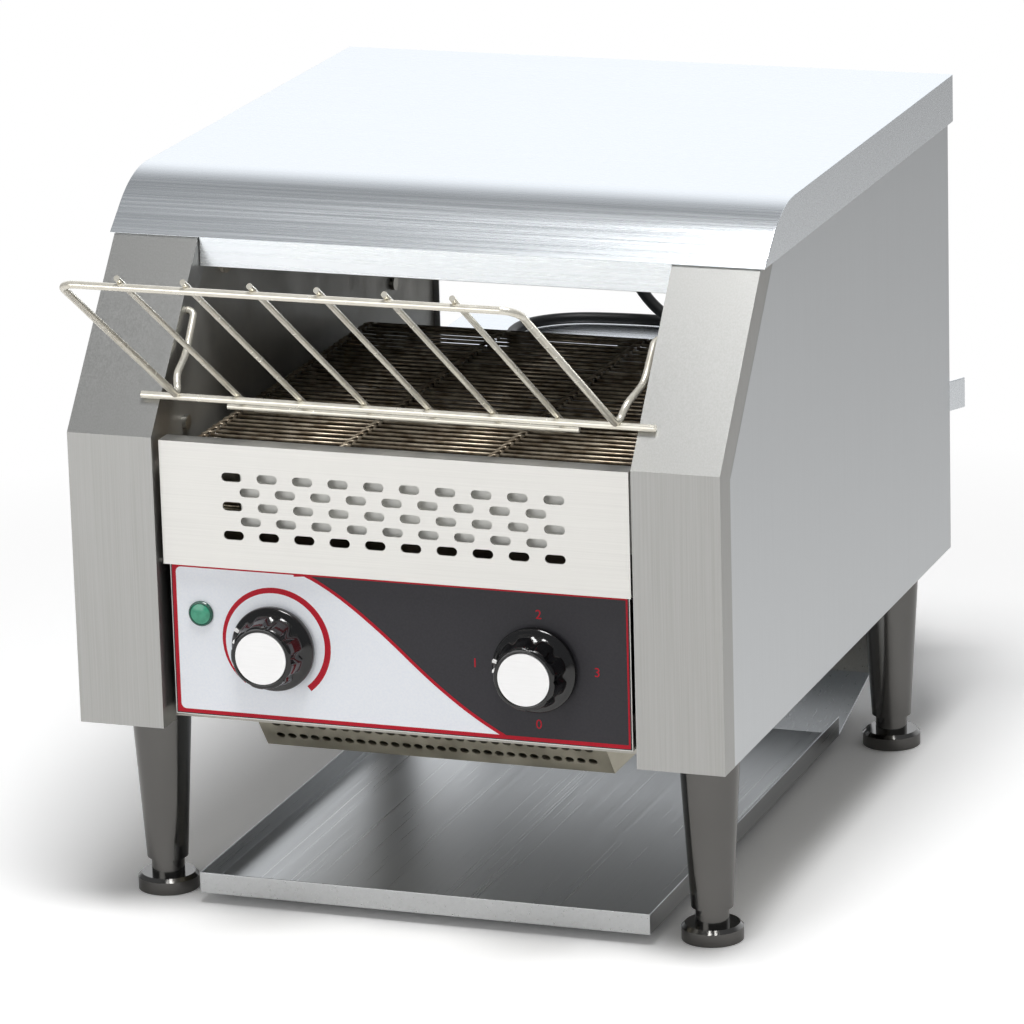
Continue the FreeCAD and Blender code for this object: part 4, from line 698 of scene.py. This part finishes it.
def printFigure(setup, digit, x, z):
    text = bpy.data.curves.new("dialFigure" + digit, "FONT")
    text.body = digit
    text.align_x = "CENTER"
    text.align_y = "CENTER"
    text.size = setup["figureSize"] * mm
    text.extrude = setup["figureDepth"] * mm
    holder = bpy.data.objects.new("dialFigure" + digit, text)
    bpy.context.scene.collection.objects.link(holder)
    bpy.context.view_layer.update()
    mesh = bpy.data.meshes.new_from_object(holder)
    bpy.data.objects.remove(holder)
    upright = Matrix.Rotation(math.radians(90), 4, "X")
    mesh.transform(Matrix.Translation((x * mm, inkFace - setup["figureFront"] * mm, z * mm)) @ upright)
    addPiece("dialFigure" + digit, mesh, "casing", finish["filmRed"])


inset = Vector((overlay["margin"], overlay["margin"]))
printLow = labelLow.xz / mm + inset
printHigh = labelHigh.xz / mm - inset
swoop = [p for p in smoothLine(overlay["curve"], overlay["curveSteps"])
                  if printLow.y + overlay["curveInside"] < p.y < printHigh.y - overlay["curveInside"]]
printField(overlay, swoop, printLow, printHigh)
printBorder(overlay, printLow, printHigh)
printCurve(overlay, swoop, printLow, printHigh)
printArc(overlay)
for digit, spot in overlay["figures"].items():
    printFigure(overlay, digit, *spot)
print("overlay printed")


# Wire belt: one bent wire to each pitch, hooked into the next at four link columns

belt = {
    "pitch": 8.0,
    "wireRadius": 1.0,
    "loopRadius": 20.0,
    "linkColumns": (-124.5, -42.3, 42.3, 124.5),
    "linkHalf": 2.6,
    "linkReach": 6.6,
    "hookShare": 0.6,           # a link's far end is narrower than its mouth
    "bendWave": 0.35,           # how far a bend strays along the belt
    "wireStray": 2.4,           # the stray's phase from wire to wire
    "bendStray": 1.7,           # and from bend to bend
}


def beltLoop():
    low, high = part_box("conveyor_belt")
    centreZ = (low.z + high.z) / 2
    radius = belt["loopRadius"] * mm
    reach = (high.z - low.z) / 2
    first, last = low.y + reach, high.y - reach
    return first, last, centreZ, radius


# Depth and height at a distance along the belt, from the front of its upper run
def onLoop(along):
    first, last, centreZ, radius = beltLoop()
    span = last - first
    arc = math.pi * radius
    along = along % (2 * span + 2 * arc)
    if along < span:
        return first + along, centreZ + radius
    if along < span + arc:
        angle = (along - span) / radius
        return last + radius * math.sin(angle), centreZ + radius * math.cos(angle)
    if along < 2 * span + arc:
        return last - (along - span - arc), centreZ - radius
    angle = (along - 2 * span - arc) / radius
    return first - radius * math.sin(angle), centreZ - radius * math.cos(angle)


def weaveBelt():
    first, last, centreZ, radius = beltLoop()
    around = 2 * (last - first) + 2 * math.pi * radius
    count = round(around / (belt["pitch"] * mm))
    step = around / count
    curve = bpy.data.curves.new("wireBelt", "CURVE")
    curve.dimensions = "3D"
    curve.bevel_depth = belt["wireRadius"] * mm
    curve.bevel_resolution = 1
    curve.use_fill_caps = True
    half = belt["linkHalf"] * mm
    hook = half * belt["hookShare"]
    reach = belt["linkReach"] * mm
    for k in range(count):
        start = k * step
        path = []
        for column in belt["linkColumns"]:
            x = column * mm
            path += [(x - half, start), (x - hook, start + reach)]
            path += [(x + hook, start + reach), (x + half, start)]
        points = []
        for i, (x, along) in enumerate(path):
            wave = belt["bendWave"] * mm * math.sin(k * belt["wireStray"] + i * belt["bendStray"])
            y, z = onLoop(along + wave)
            points.append((x, y, z))
        spline = curve.splines.new("POLY")
        spline.points.add(len(points) - 1)
        for point, co in zip(spline.points, points):
            point.co = (*co, 1)
    piece = addPiece("wireBelt", curve, "casing", finish["beltWire"])
    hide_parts("conveyor_belt")


weaveBelt()
print("belt woven")


# Cord: out of the gland, once round on the shelf, down behind the casing and into its coil

cordSetup = {
    "diameter": 7 * mm,
    "length": 1.75,
    "route": [(-38, 248, 292), (-38, 276, 292), (-38, 296, 272), (-38, 296.5, 243), (-14.5, 296, 216.3),
              (17, 295, 214.3), (50, 299.5, 214.3), (73.5, 280.9, 214.3), (76.3, 251, 214.3),
              (56.7, 228.3, 214.3), (14, 226, 214.3), (-34, 225.6, 214.3), (-78, 227, 214.3),
              (-101, 248.5, 214.3), (-101.5, 279.5, 214.3), (-79.5, 301, 214.3), (-42, 306, 214.3),
              (-8, 305.6, 214.3), (26, 308, 214.3), (66, 317, 214.3), (92, 338, 190), (104, 348, 148),
              (107, 352, 102), (104, 354, 58), (94.8, 355.3, 22.8), (68.6, 365.8, 3.8), (38, 378, 3.8)],
    "lead": 8,                  # straight run between the route and the coil
    "innerRadius": 33,
    "pitch": 9,
    "layerTurns": 1.25,
    "climbTurns": 0.5,
    "layer": 7.6,
    "perTurn": 16,
    "exitRuns": (22, 25, 25, 25, 22),       # from the coil to the plug
    "exitRises": (0, 2.2, 2.8, 1.9, 0),     # their shares of the way up to the plug
    "plugHeight": 18.3,
}


# A spiral inwards on the counter, a climb, and a spiral outwards on top of the first
def coilPoints(setup):
    route = [Vector(p) for p in setup["route"]]
    heading = (route[-1] - route[-2]).normalized()
    start = route[-1] + heading * setup["lead"]
    outer = setup["innerRadius"] + setup["pitch"] * setup["layerTurns"]
    drift = math.atan(setup["pitch"] / (2 * math.pi * outer))
    angle0 = math.atan2(heading.y, heading.x) - math.pi / 2 - drift
    middle = start - Vector((math.cos(angle0), math.sin(angle0), 0)) * outer
    turns = 2 * setup["layerTurns"] + setup["climbTurns"]
    steps = round(turns * setup["perTurn"])
    swell = 1 / math.cos(math.pi / setup["perTurn"]) ** 0.5
    points = []
    for i in range(steps + 1):
        turn = turns * i / steps
        climbed = min(max((turn - setup["layerTurns"]) / setup["climbTurns"], 0), 1)
        outward = max(setup["layerTurns"] - turn, turn - setup["layerTurns"] - setup["climbTurns"], 0)
        radius = (setup["innerRadius"] + setup["pitch"] * outward) * (swell if 0 < i < steps else 1)
        angle = angle0 + 2 * math.pi * turn
        lift = setup["layer"] * climbed * climbed * (3 - 2 * climbed)
        points.append(middle + Vector((radius * math.cos(angle), radius * math.sin(angle), lift)))
    heading = angle0 + 2 * math.pi * turns + math.pi / 2 - drift
    heading = math.atan2(math.sin(heading), math.cos(heading))
    turn = (1.5 * math.pi - heading) / (len(setup["exitRuns"]) - 1)
    rise = setup["plugHeight"] - points[-1].z
    for i, run in enumerate(setup["exitRuns"]):
        lift = rise * setup["exitRises"][i] / sum(setup["exitRises"])
        way = heading + i * turn
        points.append(points[-1] + Vector((run * math.cos(way), run * math.sin(way), lift)))
    return points


def layCord(setup):
    points = [Vector(p) for p in setup["route"]] + coilPoints(setup)
    curve = bpy.data.curves.new("mainsCord", "CURVE")
    curve.dimensions = "3D"
    curve.bevel_depth = setup["diameter"] / 2
    curve.bevel_resolution = 5
    curve.resolution_u = 8
    curve.use_fill_caps = True
    spline = curve.splines.new("NURBS")
    spline.points.add(len(points) - 1)
    for point, co in zip(spline.points, points):
        point.co = (*place(*co), 1)
    spline.order_u = 3
    spline.use_endpoint_u = True
    piece = addPiece("mainsCord", curve, "casing", finish["cord"])
    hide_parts("power_cord", "cord_coil")


layCord(cordSetup)
print("cord laid")


# Floor

# Pale paper: for the camera it is white apart from the machine's shadow
def layFloor(setup):
    bm = bmesh.new()
    bmesh.ops.create_grid(bm, x_segments=1, y_segments=1, size=setup["floorHalf"])
    bmesh.ops.translate(bm, verts=bm.verts, vec=(0, 0, -setup["floorGap"]))
    floor = bpy.data.objects.new("studioFloor", finishMesh(bm, "studioFloor"))
    bpy.context.scene.collection.objects.link(floor)
    material, tree, shader = newMaterial("paperSweep")
    shader.inputs["Base Color"].default_value = linear(setup["floorHex"])
    shader.inputs["Roughness"].default_value = 0.9
    shader.inputs["Specular IOR Level"].default_value = 0.0
    where = addNode(tree, "ShaderNodeTexCoord")
    away = addNode(tree, "ShaderNodeVectorMath", {"operation": "LENGTH"}, [(0, where.outputs["Object"])])
    near, far = setup["floorFade"]
    fade = addNode(tree, "ShaderNodeMapRange", {"From Min": near, "From Max": far},
                   [(0, away.outputs["Value"])])
    lit = addNode(tree, "ShaderNodeBsdfDiffuse", {"Color": [setup["floorGain"]] * 3 + [1]})
    white = addNode(tree, "ShaderNodeEmission", {"Color": linear("#FFFFFF"), "Strength": 1.0})
    seen = addNode(tree, "ShaderNodeMixShader", links=[
        (0, fade.outputs[0]), (1, lit.outputs[0]), (2, white.outputs[0])])
    path = addNode(tree, "ShaderNodeLightPath")
    mixed = addNode(tree, "ShaderNodeMixShader", links=[
        (0, path.outputs["Is Camera Ray"]), (1, shader.outputs[0]), (2, seen.outputs[0])])
    tree.links.new(mixed.outputs[0], tree.nodes["Material Output"].inputs[0])
    dress(floor, material)


layFloor(studio)
